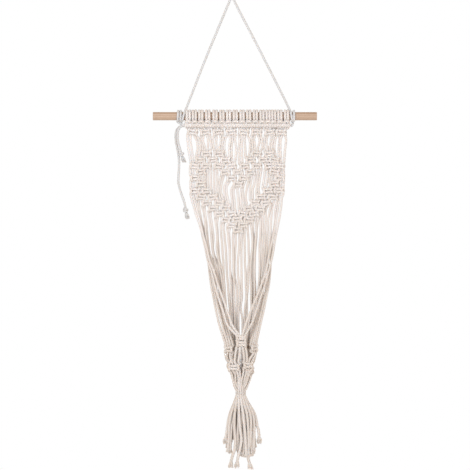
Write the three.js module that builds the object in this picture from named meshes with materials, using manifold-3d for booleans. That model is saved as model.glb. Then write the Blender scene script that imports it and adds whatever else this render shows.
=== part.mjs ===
import * as THREE from 'three';
import { mergeVertices } from 'three/addons/utils/BufferGeometryUtils.js';
import Module from 'manifold-3d';

const wasm = await Module();
wasm.setup();

// A knotted cotton plant hanger on a wooden dowel, in millimetres.
// X runs to the right, Y runs back towards the wall and Z runs up.
// The origin is the underside of the hanging loop's top, where it bears on its hook.

// Cotton cord and the clearance between neighbouring solids.
const CORD_RADIUS = 2.1;
const GAP = 0.3;
const END_GAP = 0.45;

// Dowel.
const DOWEL_RADIUS = 7.5;
const DOWEL_LENGTH = 300;
const DOWEL_CENTRE_X = 5.3;
const DOWEL_Z = -214.9;
const DOWEL_SIDES = 24;

// Heading: sixteen lark's heads on the dowel and the double half hitch bar below them.
const HEAD_COUNT = 16;
const STRAND_COUNT = 32;
const FIRST_HEAD_X = -79.9;
const LAST_HEAD_X = 99.7;
const HEAD_WIDTH = 9;
const HEAD_EDGE = 1.2;
const HEAD_SIDES = 12;
const HEAD_OUTER_RADIUS = 12;
const HEAD_VALLEY_RADIUS = 9.2;
const BAR_LEFT_X = -89;
const BAR_RIGHT_X = 106;
const BAR_Z = -231.8;
const BAR_RADIUS = 6;
const BAR_VALLEY_RADIUS = 4.6;
const BAR_SIDES = 6;

// Hanging loop and its turns round the dowel.
const LOOP_STEPS_PER_POINT = 2;
const LOOP_SIDES = 6;
const LOOP_WRAP_RADIUS = DOWEL_RADIUS + CORD_RADIUS + 0.9;

// Knotted panel. Columns are counted in half columns from the panel's centre line,
// rows are the heights of the knots' centres.
const PANEL_CENTRE_X = 10.1;
const PANEL_TOP_Z = BAR_Z - BAR_RADIUS - GAP;
const PANEL_END_Z = -430;
const CUT_LENGTH = 2;
const OUTER_COLUMN = 5;
const EDGE_COLUMN = 7.75;
const LONG_RUN = 22;
const KNOT_SQUEEZE = 0.76;
const KNOT_WIDTH = 16.5;
const KNOT_HEIGHT = 10.6;
const KNOT_DEPTH = 9;
const KNOT_SIDES = 6;
const ARM_WIDTH = 20;
const BAR_DEPTH = 8.6;
const SIDE_COLUMN_WIDTH = 25;

const COLUMN_PITCH = [
  { z: -238, left: 11.9, right: 11.6 },
  { z: -284, left: 11.4, right: 11.6 },
  { z: -328, left: 11.4, right: 11.6 },
  { z: -372, left: 11.4, right: 10.4 },
  { z: -400, left: 11.2, right: 10.2 },
  { z: -430, left: 9.4, right: 9.2 },
];

const PANEL_EDGE = [
  { z: -238, left: -81.5, right: 98.5 },
  { z: -270, left: -79.4, right: 94.2 },
  { z: -295, left: -75, right: 93.3 },
  { z: -368, left: -73.7, right: 93.3 },
  { z: -392, left: -67.3, right: 88.7 },
  { z: -405, left: -61.8, right: 86 },
  { z: -430, left: -53.8, right: 80.5 },
];

const KNOT_ROWS = [
  { z: -244, columns: [-7, -5, -3, -1, 1, 3, 5, 7] },
  { z: -284, columns: [-5, -3, 3, 5] },
  { z: -295, columns: [-4, -2, 2, 4] },
  { z: -306, columns: [-5, -3, -1, 1, 3, 5] },
  { z: -317, columns: [-2, 0, 2] },
  { z: -328, columns: [-1, 1] },
  { z: -339, columns: [0] },
];

const KNOTTED_BARS = [
  { fromColumn: -6.1, fromZ: -288, toColumn: -6.1, toZ: -368, width: SIDE_COLUMN_WIDTH, ridges: 7 },
  { fromColumn: 6.1, fromZ: -288, toColumn: 6.1, toZ: -368, width: SIDE_COLUMN_WIDTH, ridges: 7 },
  { fromColumn: -5.6, fromZ: -356, toColumn: 0.4, toZ: -419, width: ARM_WIDTH, ridges: 7 },
  { fromColumn: 5.6, fromZ: -356, toColumn: -0.4, toZ: -419, width: ARM_WIDTH, ridges: 7 },
];

// Neck, where every strand is drawn together and bound.
const NECK_X = 15.9;
const NECK_Y = -8;
const NECK_Z = -717;
const NECK_RADIUS = 7.4;
const GATHER_TOP_Z = -698;
const GATHER_TOP_RADIUS = 11.5;
const ROUND_SIDES = 16;

// Groups of four strands that run from the panel to the pot pocket. x and y are the middle
// of the group, pitch is the distance between its strands.
const GROUP_SIZE = 4;
const LEFT_FRONT_GROUP = [
  { z: -470, x: -43, y: -7, pitch: 3.6 },
  { z: -501, x: -35.5, y: -13, pitch: 3.4 },
  { z: -531, x: -26.5, y: -18, pitch: 3.4 },
  { z: -558, x: -17.4, y: -24, pitch: 3.4 },
  { z: -600, x: 0, y: -33, pitch: 3 },
  { z: -620, x: 10.5, y: -37, pitch: 2.2 },
];
const LEFT_SIDE_GROUP = [
  { z: -470, x: -37, y: 0, pitch: 3.4 },
  { z: -501, x: -37.5, y: -3, pitch: 3 },
  { z: -538, x: -32, y: -8, pitch: 2.8 },
  { z: -573, x: -26.5, y: -12, pitch: 2.8 },
  { z: -600, x: -21, y: -16, pitch: 2.8 },
  { z: -634, x: -8.5, y: -22, pitch: 2.6 },
];
const RIGHT_FRONT_GROUP = [
  { z: -467, x: 69.5, y: -7, pitch: 3.6 },
  { z: -503, x: 61.5, y: -13, pitch: 3.4 },
  { z: -535, x: 49.4, y: -18, pitch: 3.4 },
  { z: -567, x: 36.2, y: -24, pitch: 3.4 },
  { z: -600, x: 25.4, y: -33, pitch: 2.6 },
  { z: -620, x: 22, y: -37, pitch: 2.2 },
];
const RIGHT_SIDE_GROUP = [
  { z: -467, x: 65.5, y: 0, pitch: 3.4 },
  { z: -500, x: 65.5, y: -3, pitch: 2.8 },
  { z: -533, x: 62, y: -7, pitch: 2.6 },
  { z: -560, x: 57, y: -10, pitch: 2.6 },
  { z: -591, x: 51, y: -14, pitch: 2.6 },
  { z: -630, x: 44.5, y: -21, pitch: 2.4 },
];

// Knots of the pocket, with the size of each, and the runs of cord below them.
const POCKET_KNOTS = [
  { side: 'both', x: 16.2, y: -37, z: -624, width: 20, height: 19, depth: 11 },
  { side: 'left', x: -6.4, y: -23, z: -640, width: 18, height: 15, depth: 10 },
  { side: 'right', x: 43.9, y: -22, z: -638, width: 13, height: 14, depth: 10 },
  { side: 'left', x: 3.8, y: -27, z: -673, width: 20, height: 14, depth: 10 },
  { side: 'right', x: 28.6, y: -27, z: -670, width: 18, height: 13, depth: 10 },
];
const NET_RUNS = [
  { side: 'left', from: { x: 11.5, y: -37, z: -630 }, to: { x: 7.2, y: -28, z: -668 } },
  { side: 'left', from: { x: -3, y: -24, z: -644 }, to: { x: 1, y: -27, z: -668 } },
  { side: 'left', from: { x: -10, y: -22, z: -644 }, to: { x: -3.5, y: -20, z: -672 } },
  { side: 'left', from: { x: -1.5, y: -25, z: -676 }, to: { x: 9.5, y: -12.6, z: -708 } },
  { side: 'left', from: { x: 7.5, y: -27, z: -676 }, to: { x: 11.4, y: -13.4, z: -708 } },
  { side: 'right', from: { x: 20.5, y: -37, z: -630 }, to: { x: 25.5, y: -28, z: -668 } },
  { side: 'right', from: { x: 40.5, y: -23, z: -642 }, to: { x: 31, y: -27, z: -667 } },
  { side: 'right', from: { x: 44, y: -20, z: -642 }, to: { x: 37.5, y: -14, z: -676 } },
  { side: 'right', from: { x: 37.5, y: -14, z: -676 }, to: { x: 24, y: -11.8, z: -706 } },
  { side: 'right', from: { x: 25.5, y: -27, z: -674 }, to: { x: 20.4, y: -13.4, z: -708 } },
];
const RUN_PITCH = 4;
const LEFT_GROUPS = [
  { firstStrand: 0, route: LEFT_FRONT_GROUP },
  { firstStrand: 4, route: LEFT_SIDE_GROUP },
];
const RIGHT_GROUPS = [
  { firstStrand: 28, route: RIGHT_FRONT_GROUP },
  { firstStrand: 24, route: RIGHT_SIDE_GROUP },
];

// Back strands.
const BACK_FIRST_STRAND = 8;
const BACK_STRANDS = 16;
const BACK_SPREAD = [
  { z: -470, x: 15, y: 3.5, pitch: 4.15 },
  { z: -551, x: 15.2, y: 4.5, pitch: 3.4 },
  { z: -620, x: 16, y: 4, pitch: 2.4 },
  { z: -712, x: NECK_X, y: -4.6, pitch: 0.7 },
];

// Binding round the neck.
const TIE_TOP_Z = -717.8;
const TIE_HEIGHT = 5;
const TIE_THICKNESS = 1.6;

// Tassel of cut ends below the neck.
const HEAD_SHOULDER_Z = -724;
const HEAD_FLARE_Z = -738;
const HEAD_FLARE_RADIUS = 12.5;
const HEAD_END_Z = -742;
const HEAD_END_RADIUS = 6;
const TASSEL_ROOT_Z = -733;
const END_RADIUS = 1.9;
const TASSEL_ROWS = [
  { count: 11, y: -14.5, rootY: -13.5, left: -10, right: 46, outerZ: -804, innerZ: -834 },
  { count: 11, y: -7.5, rootY: -8, left: -7, right: 41, outerZ: -812, innerZ: -838 },
  { count: 10, y: 0, rootY: -2.5, left: -4, right: 38, outerZ: -820, innerZ: -836 },
];
const LONG_ENDS = [
  { rootX: 12, y: -17.6, x: -1.5, z: -852 },
  { rootX: 14.5, y: -17.8, x: 8.5, z: -853 },
  { rootX: 20, y: -17.6, x: 32.5, z: -856 },
];
const ROOT_SPREAD = 10.5;
const END_KNOT_SIZE = 9;

// Loose ends of the hanging cord, left of the bar.
const SHORT_END = [
  { x: BAR_LEFT_X - END_GAP, y: -2.3, z: -233 },
  { x: -91.8, y: -2.3, z: -233.1 },
  { x: -95.5, y: -2.7, z: -235.8 },
  { x: -99.3, y: -3, z: -241 },
  { x: -100.6, y: -3, z: -250 },
  { x: -99.8, y: -3, z: -262 },
  { x: -96.2, y: -3, z: -279 },
  { x: -92.5, y: -3, z: -289 },
];
const LONG_END = [
  { x: BAR_LEFT_X - END_GAP, y: 2.3, z: -233 },
  { x: -91.8, y: 2.3, z: -233.1 },
  { x: -96.5, y: 2.6, z: -234.8 },
  { x: -102, y: 2.4, z: -240.5 },
  { x: -104.9, y: 2.2, z: -250 },
  { x: -104.2, y: 2, z: -262 },
  { x: -99.6, y: 2, z: -282 },
  { x: -96.8, y: 2, z: -299 },
  { x: -98.6, y: 1, z: -325 },
  { x: -99, y: 0, z: -337 },
  { x: -94.8, y: 0, z: -352 },
  { x: -88.8, y: 0, z: -371 },
  { x: -85, y: 0, z: -388 },
];
const END_BULB_WIDTH = 10;
const END_BULB_HEIGHT = 13;

const cottonColour = 0xe6ddd3;
const woodColour = 0xd6b48f;

// A smooth curve that takes one equal share of its parameter between each two points,
// so that the steps of a tube fall on the points.
class PointSpacedCurve extends THREE.CatmullRomCurve3 {
  getUtoTmapping(u) {
    return u;
  }
}

function vector(point) {
  return new THREE.Vector3(point.x, point.y, point.z);
}

function interpolate(table, z, column) {
  const last = table.length - 1;
  if (z >= table[0].z) {
    return table[0][column];
  }
  if (z <= table[last].z) {
    return table[last][column];
  }
  const index = table.findIndex((row) => row.z < z);
  const upper = table[index - 1];
  const lower = table[index];
  const share = (upper.z - z) / (upper.z - lower.z);
  return upper[column] + share * (lower[column] - upper[column]);
}

function polygon(radius, sides) {
  const shape = new THREE.Shape();
  for (let side = 0; side < sides; side += 1) {
    const angle = (2 * Math.PI * (side + 0.5)) / sides;
    const x = radius * Math.cos(angle);
    const y = radius * Math.sin(angle);
    if (side === 0) {
      shape.moveTo(x, y);
    } else {
      shape.lineTo(x, y);
    }
  }
  shape.closePath();
  return shape;
}

function tube(points, radius, sides, stepsPerPoint) {
  const path = new PointSpacedCurve(points.map(vector));
  return new THREE.ExtrudeGeometry(polygon(radius, sides), {
    steps: stepsPerPoint * (points.length - 1),
    bevelEnabled: false,
    extrudePath: path,
  });
}

function strand(points, radius = CORD_RADIUS) {
  return tube(points, radius, 4, 1);
}

function lathe(profile, sides) {
  const points = profile.map((point) => new THREE.Vector2(point[0], point[1]));
  return new THREE.LatheGeometry(points, sides).rotateX(Math.PI / 2);
}

function block(minimum, maximum) {
  const size = new THREE.Vector3().subVectors(maximum, minimum);
  const centre = new THREE.Vector3().addVectors(minimum, maximum).multiplyScalar(0.5);
  return new THREE.BoxGeometry(size.x, size.y, size.z).translate(centre.x, centre.y, centre.z);
}

function toSolid(geometry) {
  const bare = geometry.clone();
  bare.deleteAttribute('normal');
  bare.deleteAttribute('uv');
  const merged = mergeVertices(bare, 1e-4);
  return new wasm.Manifold(new wasm.Mesh({
    numProp: 3,
    vertProperties: new Float32Array(merged.attributes.position.array),
    triVerts: new Uint32Array(merged.index.array),
  }));
}

function toGeometry(solid) {
  const mesh = solid.getMesh();
  const geometry = new THREE.BufferGeometry();
  geometry.setAttribute('position', new THREE.BufferAttribute(new Float32Array(mesh.vertProperties), 3));
  geometry.setIndex(new THREE.BufferAttribute(new Uint32Array(mesh.triVerts), 1));
  return geometry;
}

function join(geometries) {
  return geometries.map(toSolid).reduce((whole, piece) => whole.add(piece));
}

// Keeps the outer skin only, so that no pocket stays sealed between fused strands.
function outerSkin(solid) {
  const pieces = solid.decompose();
  return pieces.reduce((best, piece) => (piece.volume() > best.volume() ? piece : best));
}

// A knot with two raised turns and a waist between them.
function ridgedKnot(knot) {
  const half = knot.height / 2;
  const profile = [
    [0, -half],
    [0.5, -0.5 * half],
    [0.38, 0],
    [0.5, 0.5 * half],
    [0, half],
  ];
  return lathe(profile, KNOT_SIDES)
    .scale(knot.width, knot.depth, 1)
    .translate(knot.x, knot.y, knot.z);
}

// A bar of knots side by side: one ridge for each knot.
function ridgedBar(from, to, width, depth, ridges) {
  const run = new THREE.Vector3().subVectors(to, from);
  const length = run.length();
  const profile = [[0, 0]];
  for (let ridge = 0; ridge < ridges; ridge += 1) {
    profile.push([0.38, (ridge / ridges) * length]);
    profile.push([0.5, ((ridge + 0.5) / ridges) * length]);
  }
  profile.push([0.38, length]);
  profile.push([0, length]);
  const angle = Math.atan2(run.x, run.z);
  return lathe(profile, KNOT_SIDES)
    .scale(width, depth, 1)
    .rotateY(angle)
    .translate(from.x, from.y, from.z);
}

function panelX(column, z) {
  const side = column < 0 ? 'left' : 'right';
  const reach = Math.abs(column);
  const sign = Math.sign(column);
  const pitch = interpolate(COLUMN_PITCH, z, side);
  if (reach <= OUTER_COLUMN) {
    return PANEL_CENTRE_X + sign * reach * pitch;
  }
  const inner = PANEL_CENTRE_X + sign * OUTER_COLUMN * pitch;
  const edge = interpolate(PANEL_EDGE, z, side);
  const share = (reach - OUTER_COLUMN) / (EDGE_COLUMN - OUTER_COLUMN);
  return inner + share * (edge - inner);
}

function strandColumn(index) {
  return (index - (STRAND_COUNT - 1) / 2) / 2;
}

function barX(index) {
  const step = (LAST_HEAD_X - FIRST_HEAD_X) / (HEAD_COUNT - 1) / 2;
  return FIRST_HEAD_X - step / 2 + step * index;
}

// Each strand passes through the knots of its own column and fans out between them.
function panelStrand(index) {
  const column = strandColumn(index);
  const points = [{ x: barX(index), y: 0, z: PANEL_TOP_Z }];
  for (const row of KNOT_ROWS) {
    const knotColumn = row.columns.find((candidate) => Math.abs(candidate - column) < 1);
    if (knotColumn !== undefined) {
      const previous = points[points.length - 1];
      if (previous.z - row.z > LONG_RUN) {
        const middle = (previous.z + row.z) / 2;
        points.push({ x: panelX(column, middle), y: 0, z: middle });
      }
      const centre = panelX(knotColumn, row.z);
      const natural = panelX(column, row.z);
      points.push({ x: centre + KNOT_SQUEEZE * (natural - centre), y: 0, z: row.z });
    }
  }
  const start = points[points.length - 1].z;
  const end = PANEL_END_Z - CUT_LENGTH;
  const runs = Math.max(1, Math.round((start - end) / (2 * LONG_RUN)));
  for (let run = 1; run <= runs; run += 1) {
    const z = start + ((end - start) * run) / runs;
    points.push({ x: panelX(column, z), y: 0, z });
  }
  return strand(points);
}

const REACH = 200;
const BELOW_PANEL = block(
  new THREE.Vector3(-REACH, -REACH, PANEL_END_Z - REACH),
  new THREE.Vector3(REACH, REACH, PANEL_END_Z),
);
const ABOVE_POCKET = block(
  new THREE.Vector3(-REACH, -REACH, PANEL_END_Z - GAP),
  new THREE.Vector3(REACH, REACH, PANEL_END_Z + REACH),
);

function makePanel() {
  const pieces = [];
  for (let index = 0; index < STRAND_COUNT; index += 1) {
    pieces.push(panelStrand(index));
  }
  for (const row of KNOT_ROWS) {
    for (const column of row.columns) {
      pieces.push(ridgedKnot({
        x: panelX(column, row.z),
        y: 0,
        z: row.z,
        width: KNOT_WIDTH,
        height: KNOT_HEIGHT,
        depth: KNOT_DEPTH,
      }));
    }
  }
  for (const bar of KNOTTED_BARS) {
    const from = new THREE.Vector3(panelX(bar.fromColumn, bar.fromZ), 0, bar.fromZ);
    const to = new THREE.Vector3(panelX(bar.toColumn, bar.toZ), 0, bar.toZ);
    pieces.push(ridgedBar(from, to, bar.width, BAR_DEPTH, bar.ridges));
  }
  return toGeometry(outerSkin(join(pieces).subtract(toSolid(BELOW_PANEL))));
}

function makeDowel() {
  return new THREE.CylinderGeometry(DOWEL_RADIUS, DOWEL_RADIUS, DOWEL_LENGTH, DOWEL_SIDES)
    .rotateZ(Math.PI / 2)
    .translate(DOWEL_CENTRE_X, 0, DOWEL_Z);
}

function makeHeading() {
  const bore = (DOWEL_RADIUS + GAP) / Math.cos(Math.PI / HEAD_SIDES);
  const pitch = (LAST_HEAD_X - FIRST_HEAD_X) / (HEAD_COUNT - 1);
  const sleeve = [];
  for (let head = 0; head < HEAD_COUNT; head += 1) {
    const centre = FIRST_HEAD_X + pitch * head;
    sleeve.push([HEAD_VALLEY_RADIUS, centre - HEAD_WIDTH / 2]);
    sleeve.push([HEAD_OUTER_RADIUS, centre - HEAD_WIDTH / 2 + HEAD_EDGE]);
    sleeve.push([HEAD_OUTER_RADIUS, centre + HEAD_WIDTH / 2 - HEAD_EDGE]);
  }
  sleeve.push([HEAD_VALLEY_RADIUS, LAST_HEAD_X + HEAD_WIDTH / 2]);
  sleeve.push([bore, LAST_HEAD_X + HEAD_WIDTH / 2]);
  sleeve.push([bore, FIRST_HEAD_X - HEAD_WIDTH / 2]);
  sleeve.push([HEAD_VALLEY_RADIUS, FIRST_HEAD_X - HEAD_WIDTH / 2]);
  const bar = [[0, BAR_LEFT_X]];
  const hitch = (BAR_RIGHT_X - BAR_LEFT_X) / STRAND_COUNT;
  for (let index = 0; index < STRAND_COUNT; index += 1) {
    bar.push([BAR_VALLEY_RADIUS, BAR_LEFT_X + hitch * index]);
    bar.push([BAR_RADIUS, BAR_LEFT_X + hitch * (index + 0.5)]);
  }
  bar.push([BAR_VALLEY_RADIUS, BAR_RIGHT_X]);
  bar.push([0, BAR_RIGHT_X]);
  const heads = lathe(sleeve, HEAD_SIDES).rotateY(Math.PI / 2).translate(0, 0, DOWEL_Z);
  const hitches = lathe(bar, BAR_SIDES).rotateY(Math.PI / 2).translate(0, 0, BAR_Z);
  return toGeometry(join([heads, hitches]));
}

// A point on a turn round the dowel: 0 degrees is on top, 90 in front, 180 below.
function onDowel(x, degrees) {
  const angle = THREE.MathUtils.degToRad(degrees);
  return {
    x,
    y: -LOOP_WRAP_RADIUS * Math.sin(angle),
    z: DOWEL_Z + LOOP_WRAP_RADIUS * Math.cos(angle),
  };
}

function turns(fromX, toX, fromDegrees, toDegrees) {
  const points = [];
  const count = Math.round(Math.abs(toDegrees - fromDegrees) / 45);
  for (let index = 0; index <= count; index += 1) {
    const share = index / count;
    points.push(onDowel(fromX + share * (toX - fromX), fromDegrees + share * (toDegrees - fromDegrees)));
  }
  return points;
}

function makeHangingLoop() {
  const leftTurns = turns(-87.3, -99.5, 10, 550).reverse();
  const rightTurns = turns(107.3, 113, 10, 550);
  const points = [
    { x: BAR_LEFT_X - END_GAP, y: -0.3, z: -228.8 },
    { x: -91.6, y: -0.3, z: -228.7 },
    { x: -94.4, y: 0.3, z: -227.8 },
    ...leftTurns,
    { x: -49.4, y: 0, z: -112.9 },
    { x: -5.4, y: 0, z: -7 },
    { x: -2.4, y: 0, z: -0.2 },
    { x: 0, y: 0, z: CORD_RADIUS },
    { x: 2.6, y: 0, z: -0.2 },
    { x: 5.6, y: 0, z: -7 },
    { x: 52, y: 0, z: -97 },
    ...rightTurns,
    { x: 110.8, y: 0.6, z: -230.2 },
    { x: 108.8, y: 0, z: BAR_Z + 0.1 },
    { x: BAR_RIGHT_X + END_GAP, y: 0, z: BAR_Z },
  ];
  return tube(points, CORD_RADIUS, LOOP_SIDES, LOOP_STEPS_PER_POINT);
}

function makeLooseEnd(points) {
  const last = points[points.length - 1];
  const bulb = ridgedKnot({
    ...last,
    width: END_BULB_WIDTH,
    height: END_BULB_HEIGHT,
    depth: END_BULB_WIDTH,
  });
  return toGeometry(join([tube(points, CORD_RADIUS, LOOP_SIDES, 1), bulb]));
}

// A strand's first points below the panel, straight down from where the panel leaves it.
function panelExit(index) {
  const x = panelX(strandColumn(index), PANEL_END_Z);
  return { x, y: 0, z: PANEL_END_Z + CUT_LENGTH };
}

function groupStrands(group) {
  const strands = [];
  for (let index = 0; index < GROUP_SIZE; index += 1) {
    const offset = index - (GROUP_SIZE - 1) / 2;
    const points = [panelExit(group.firstStrand + index)];
    for (const row of group.route) {
      points.push({ x: row.x + offset * row.pitch, y: row.y, z: row.z });
    }
    strands.push(strand(points));
  }
  return strands;
}

function netRun(run) {
  return [-0.5, 0.5].map((offset) => strand([
    { x: run.from.x + offset * RUN_PITCH, y: run.from.y, z: run.from.z },
    { x: run.to.x + offset * RUN_PITCH, y: run.to.y, z: run.to.z },
  ]));
}

function gatherCone() {
  return lathe([
    [0, NECK_Z],
    [NECK_RADIUS, NECK_Z],
    [GATHER_TOP_RADIUS, GATHER_TOP_Z],
    [0, GATHER_TOP_Z],
  ], ROUND_SIDES).translate(NECK_X, NECK_Y, 0);
}

const FRONT_OF_NECK = block(
  new THREE.Vector3(-REACH, -REACH, NECK_Z - REACH),
  new THREE.Vector3(REACH, NECK_Y + GAP / 2, GATHER_TOP_Z),
);
const BACK_OF_NECK = block(
  new THREE.Vector3(-REACH, NECK_Y - GAP / 2, NECK_Z - REACH),
  new THREE.Vector3(REACH, REACH, GATHER_TOP_Z),
);
const POCKET_TOP_Z = -590;
const RIGHT_OF_SPLIT = block(
  new THREE.Vector3(NECK_X - GAP / 2, -REACH, NECK_Z - REACH),
  new THREE.Vector3(REACH, REACH, POCKET_TOP_Z),
);
const LEFT_OF_SPLIT = block(
  new THREE.Vector3(-REACH, -REACH, NECK_Z - REACH),
  new THREE.Vector3(NECK_X + GAP / 2, REACH, POCKET_TOP_Z),
);

function makePocketFront(side, groups, otherSide) {
  const pieces = groups.flatMap(groupStrands);
  for (const knot of POCKET_KNOTS) {
    if (knot.side === side || knot.side === 'both') {
      pieces.push(ridgedKnot(knot));
    }
  }
  for (const run of NET_RUNS) {
    if (run.side === side) {
      pieces.push(...netRun(run));
    }
  }
  pieces.push(gatherCone());
  const offcuts = [ABOVE_POCKET, BACK_OF_NECK, otherSide];
  return toGeometry(outerSkin(join(pieces).subtract(join(offcuts))));
}

function makePocketBack() {
  const pieces = [gatherCone()];
  for (let index = 0; index < BACK_STRANDS; index += 1) {
    const points = [panelExit(BACK_FIRST_STRAND + index)];
    for (const row of BACK_SPREAD) {
      points.push({ x: row.x + (index - (BACK_STRANDS - 1) / 2) * row.pitch, y: row.y, z: row.z });
    }
    pieces.push(strand(points));
  }
  return toGeometry(outerSkin(join(pieces).subtract(join([ABOVE_POCKET, FRONT_OF_NECK]))));
}

function makeTie() {
  const inner = (NECK_RADIUS + GAP) / Math.cos(Math.PI / ROUND_SIDES);
  const outer = inner + TIE_THICKNESS;
  const bottom = TIE_TOP_Z - TIE_HEIGHT;
  const middle = TIE_TOP_Z - TIE_HEIGHT / 2;
  return lathe([
    [inner, bottom],
    [outer - 0.6, bottom],
    [outer, bottom + 1.2],
    [outer - 0.5, middle],
    [outer, TIE_TOP_Z - 1.2],
    [outer - 0.6, TIE_TOP_Z],
    [inner, TIE_TOP_Z],
    [inner, bottom],
  ], ROUND_SIDES).translate(NECK_X, NECK_Y, 0);
}

function tasselEnd(rootX, rootY, end) {
  const shoulder = {
    x: rootX + 0.45 * (end.x - rootX),
    y: rootY + 0.6 * (end.y - rootY),
    z: TASSEL_ROOT_Z + 0.35 * (end.z - TASSEL_ROOT_Z),
  };
  return strand([{ x: rootX, y: rootY, z: TASSEL_ROOT_Z }, shoulder, end], END_RADIUS);
}

function makeTassel() {
  const pieces = [lathe([
    [0, HEAD_END_Z],
    [HEAD_END_RADIUS, HEAD_END_Z],
    [HEAD_FLARE_RADIUS, HEAD_FLARE_Z],
    [NECK_RADIUS, HEAD_SHOULDER_Z],
    [NECK_RADIUS, NECK_Z - GAP],
    [0, NECK_Z - GAP],
  ], ROUND_SIDES).translate(NECK_X, NECK_Y, 0)];
  for (const row of TASSEL_ROWS) {
    for (let index = 0; index < row.count; index += 1) {
      const share = index / (row.count - 1);
      const fullness = Math.sin(Math.PI * share) ** 0.7;
      const end = {
        x: row.left + share * (row.right - row.left),
        y: row.y,
        z: row.outerZ + fullness * (row.innerZ - row.outerZ),
      };
      pieces.push(tasselEnd(NECK_X + (share - 0.5) * 2 * ROOT_SPREAD, row.rootY, end));
    }
  }
  for (const end of LONG_ENDS) {
    pieces.push(tasselEnd(end.rootX, NECK_Y - ROOT_SPREAD + 1.5, end));
  }
  const frontRow = TASSEL_ROWS[0];
  for (const x of [frontRow.left, frontRow.right]) {
    pieces.push(ridgedKnot({
      x,
      y: frontRow.y,
      z: frontRow.outerZ,
      width: END_KNOT_SIZE,
      height: END_KNOT_SIZE,
      depth: END_KNOT_SIZE,
    }));
  }
  return toGeometry(outerSkin(join(pieces)));
}

function addPiece(group, name, geometry, colour, roughness) {
  const material = new THREE.MeshStandardMaterial({ color: colour, roughness, metalness: 0 });
  const mesh = new THREE.Mesh(geometry, material);
  mesh.name = name;
  group.add(mesh);
}

const hanger = new THREE.Group();
addPiece(hanger, 'dowel', makeDowel(), woodColour, 0.6);
addPiece(hanger, 'hanging_loop', makeHangingLoop(), cottonColour, 0.95);
addPiece(hanger, 'loose_end_short', makeLooseEnd(SHORT_END), cottonColour, 0.95);
addPiece(hanger, 'loose_end_long', makeLooseEnd(LONG_END), cottonColour, 0.95);
addPiece(hanger, 'heading', makeHeading(), cottonColour, 0.95);
addPiece(hanger, 'knotted_panel', makePanel(), cottonColour, 0.95);
addPiece(
  hanger,
  'pocket_front_left',
  makePocketFront('left', LEFT_GROUPS, RIGHT_OF_SPLIT),
  cottonColour,
  0.95,
);
addPiece(
  hanger,
  'pocket_front_right',
  makePocketFront('right', RIGHT_GROUPS, LEFT_OF_SPLIT),
  cottonColour,
  0.95,
);
addPiece(hanger, 'pocket_back', makePocketBack(), cottonColour, 0.95);
addPiece(hanger, 'neck_tie', makeTie(), cottonColour, 0.95);
addPiece(hanger, 'tassel', makeTassel(), cottonColour, 0.95);

export default hanger;
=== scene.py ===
"""Dresses a knotted cotton plant hanger: twisted cords, knots, wooden dowel, studio.

Sizes are in millimetres in the row frame and turn into metres when a mesh is made.
X runs right, Y back towards the wall and Z up, from the underside of the hanging loop's top.
"""

import logging
import math
import random
from collections.abc import Iterable
from dataclasses import dataclass
from enum import Enum

import bpy
import numpy as np
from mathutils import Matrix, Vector


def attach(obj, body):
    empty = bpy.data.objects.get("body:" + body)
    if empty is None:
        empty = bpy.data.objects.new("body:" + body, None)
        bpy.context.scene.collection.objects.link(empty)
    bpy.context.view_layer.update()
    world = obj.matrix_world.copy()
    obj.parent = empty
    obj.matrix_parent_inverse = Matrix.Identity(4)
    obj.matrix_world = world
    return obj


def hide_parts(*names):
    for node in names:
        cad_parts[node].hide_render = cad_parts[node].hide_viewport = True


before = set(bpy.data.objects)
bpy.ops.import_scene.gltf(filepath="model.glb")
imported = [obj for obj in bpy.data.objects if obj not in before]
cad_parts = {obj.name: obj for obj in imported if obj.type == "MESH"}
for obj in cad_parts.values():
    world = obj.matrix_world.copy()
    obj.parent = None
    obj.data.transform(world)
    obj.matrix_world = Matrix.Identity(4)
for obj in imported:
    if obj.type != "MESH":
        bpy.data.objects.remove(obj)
log = logging.getLogger("hanger")

MM = 0.001
BODY = "root"

# A place across, in depth and in height, and the same with the cord's thickness there beside
# its plain thickness.
Place = tuple[float, float, float]
Point = tuple[float, float, float, float]


class Slot(Enum):
    """The record's material slots."""

    COTTON = "cotton"
    WOOD = "wood"


class Face(Enum):
    """The side of a square knot that carries its upright bump."""

    LEFT = 1
    RIGHT = -1


class Zone(Enum):
    """Stretches of a strand, from the dowel down to its cut end."""

    HEADING = "heading"
    PANEL = "panel"
    POCKET = "pocket"
    TASSEL = "tassel"


def linear(hex_colour: str) -> tuple[float, float, float, float]:
    """Turns an sRGB hex colour into the linear RGBA that shaders take.

    Args:
        hex_colour: six hex digits after a hash.

    Returns:
        Linear red, green, blue and an alpha of 1.
    """
    parts = [int(hex_colour[i : i + 2], 16) / 255 for i in (1, 3, 5)]
    red, green, blue = (
        c / 12.92 if c <= 0.04045 else ((c + 0.055) / 1.055) ** 2.4 for c in parts
    )
    return red, green, blue, 1.0


def add_node(
    material: bpy.types.Material | bpy.types.World,
    kind: str,
    settings: dict[str, object] | None = None,
    values: dict[str, object] | None = None,
    links: dict[str, bpy.types.NodeSocket] | None = None,
) -> bpy.types.Node:
    """Adds one node with its settings, socket values and incoming links.

    Args:
        material: the material whose tree gets the node.
        kind: the node's type name.
        settings: attributes of the node, such as its operation.
        values: socket values by socket name or number.
        links: sockets of other nodes that feed this node's sockets.

    Returns:
        The new node.
    """
    tree = material.node_tree
    node = tree.nodes.new(kind)
    for name, value in (settings or {}).items():
        setattr(node, name, value)
    for name, value in (values or {}).items():
        node.inputs[name].default_value = value
    for name, socket in (links or {}).items():
        tree.links.new(socket, node.inputs[name])
    return node


def new_material(name: str) -> bpy.types.Material:
    """Makes an empty node material of that name."""
    material = bpy.data.materials.new(name)
    material.use_nodes = True
    material.node_tree.nodes.clear()
    return material


def set_out(name: str, data: bpy.types.ID) -> bpy.types.Object:
    """Makes an object of that data and links it to the scene."""
    made = bpy.data.objects.new(name, data)
    bpy.context.scene.collection.objects.link(made)
    return made


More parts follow.
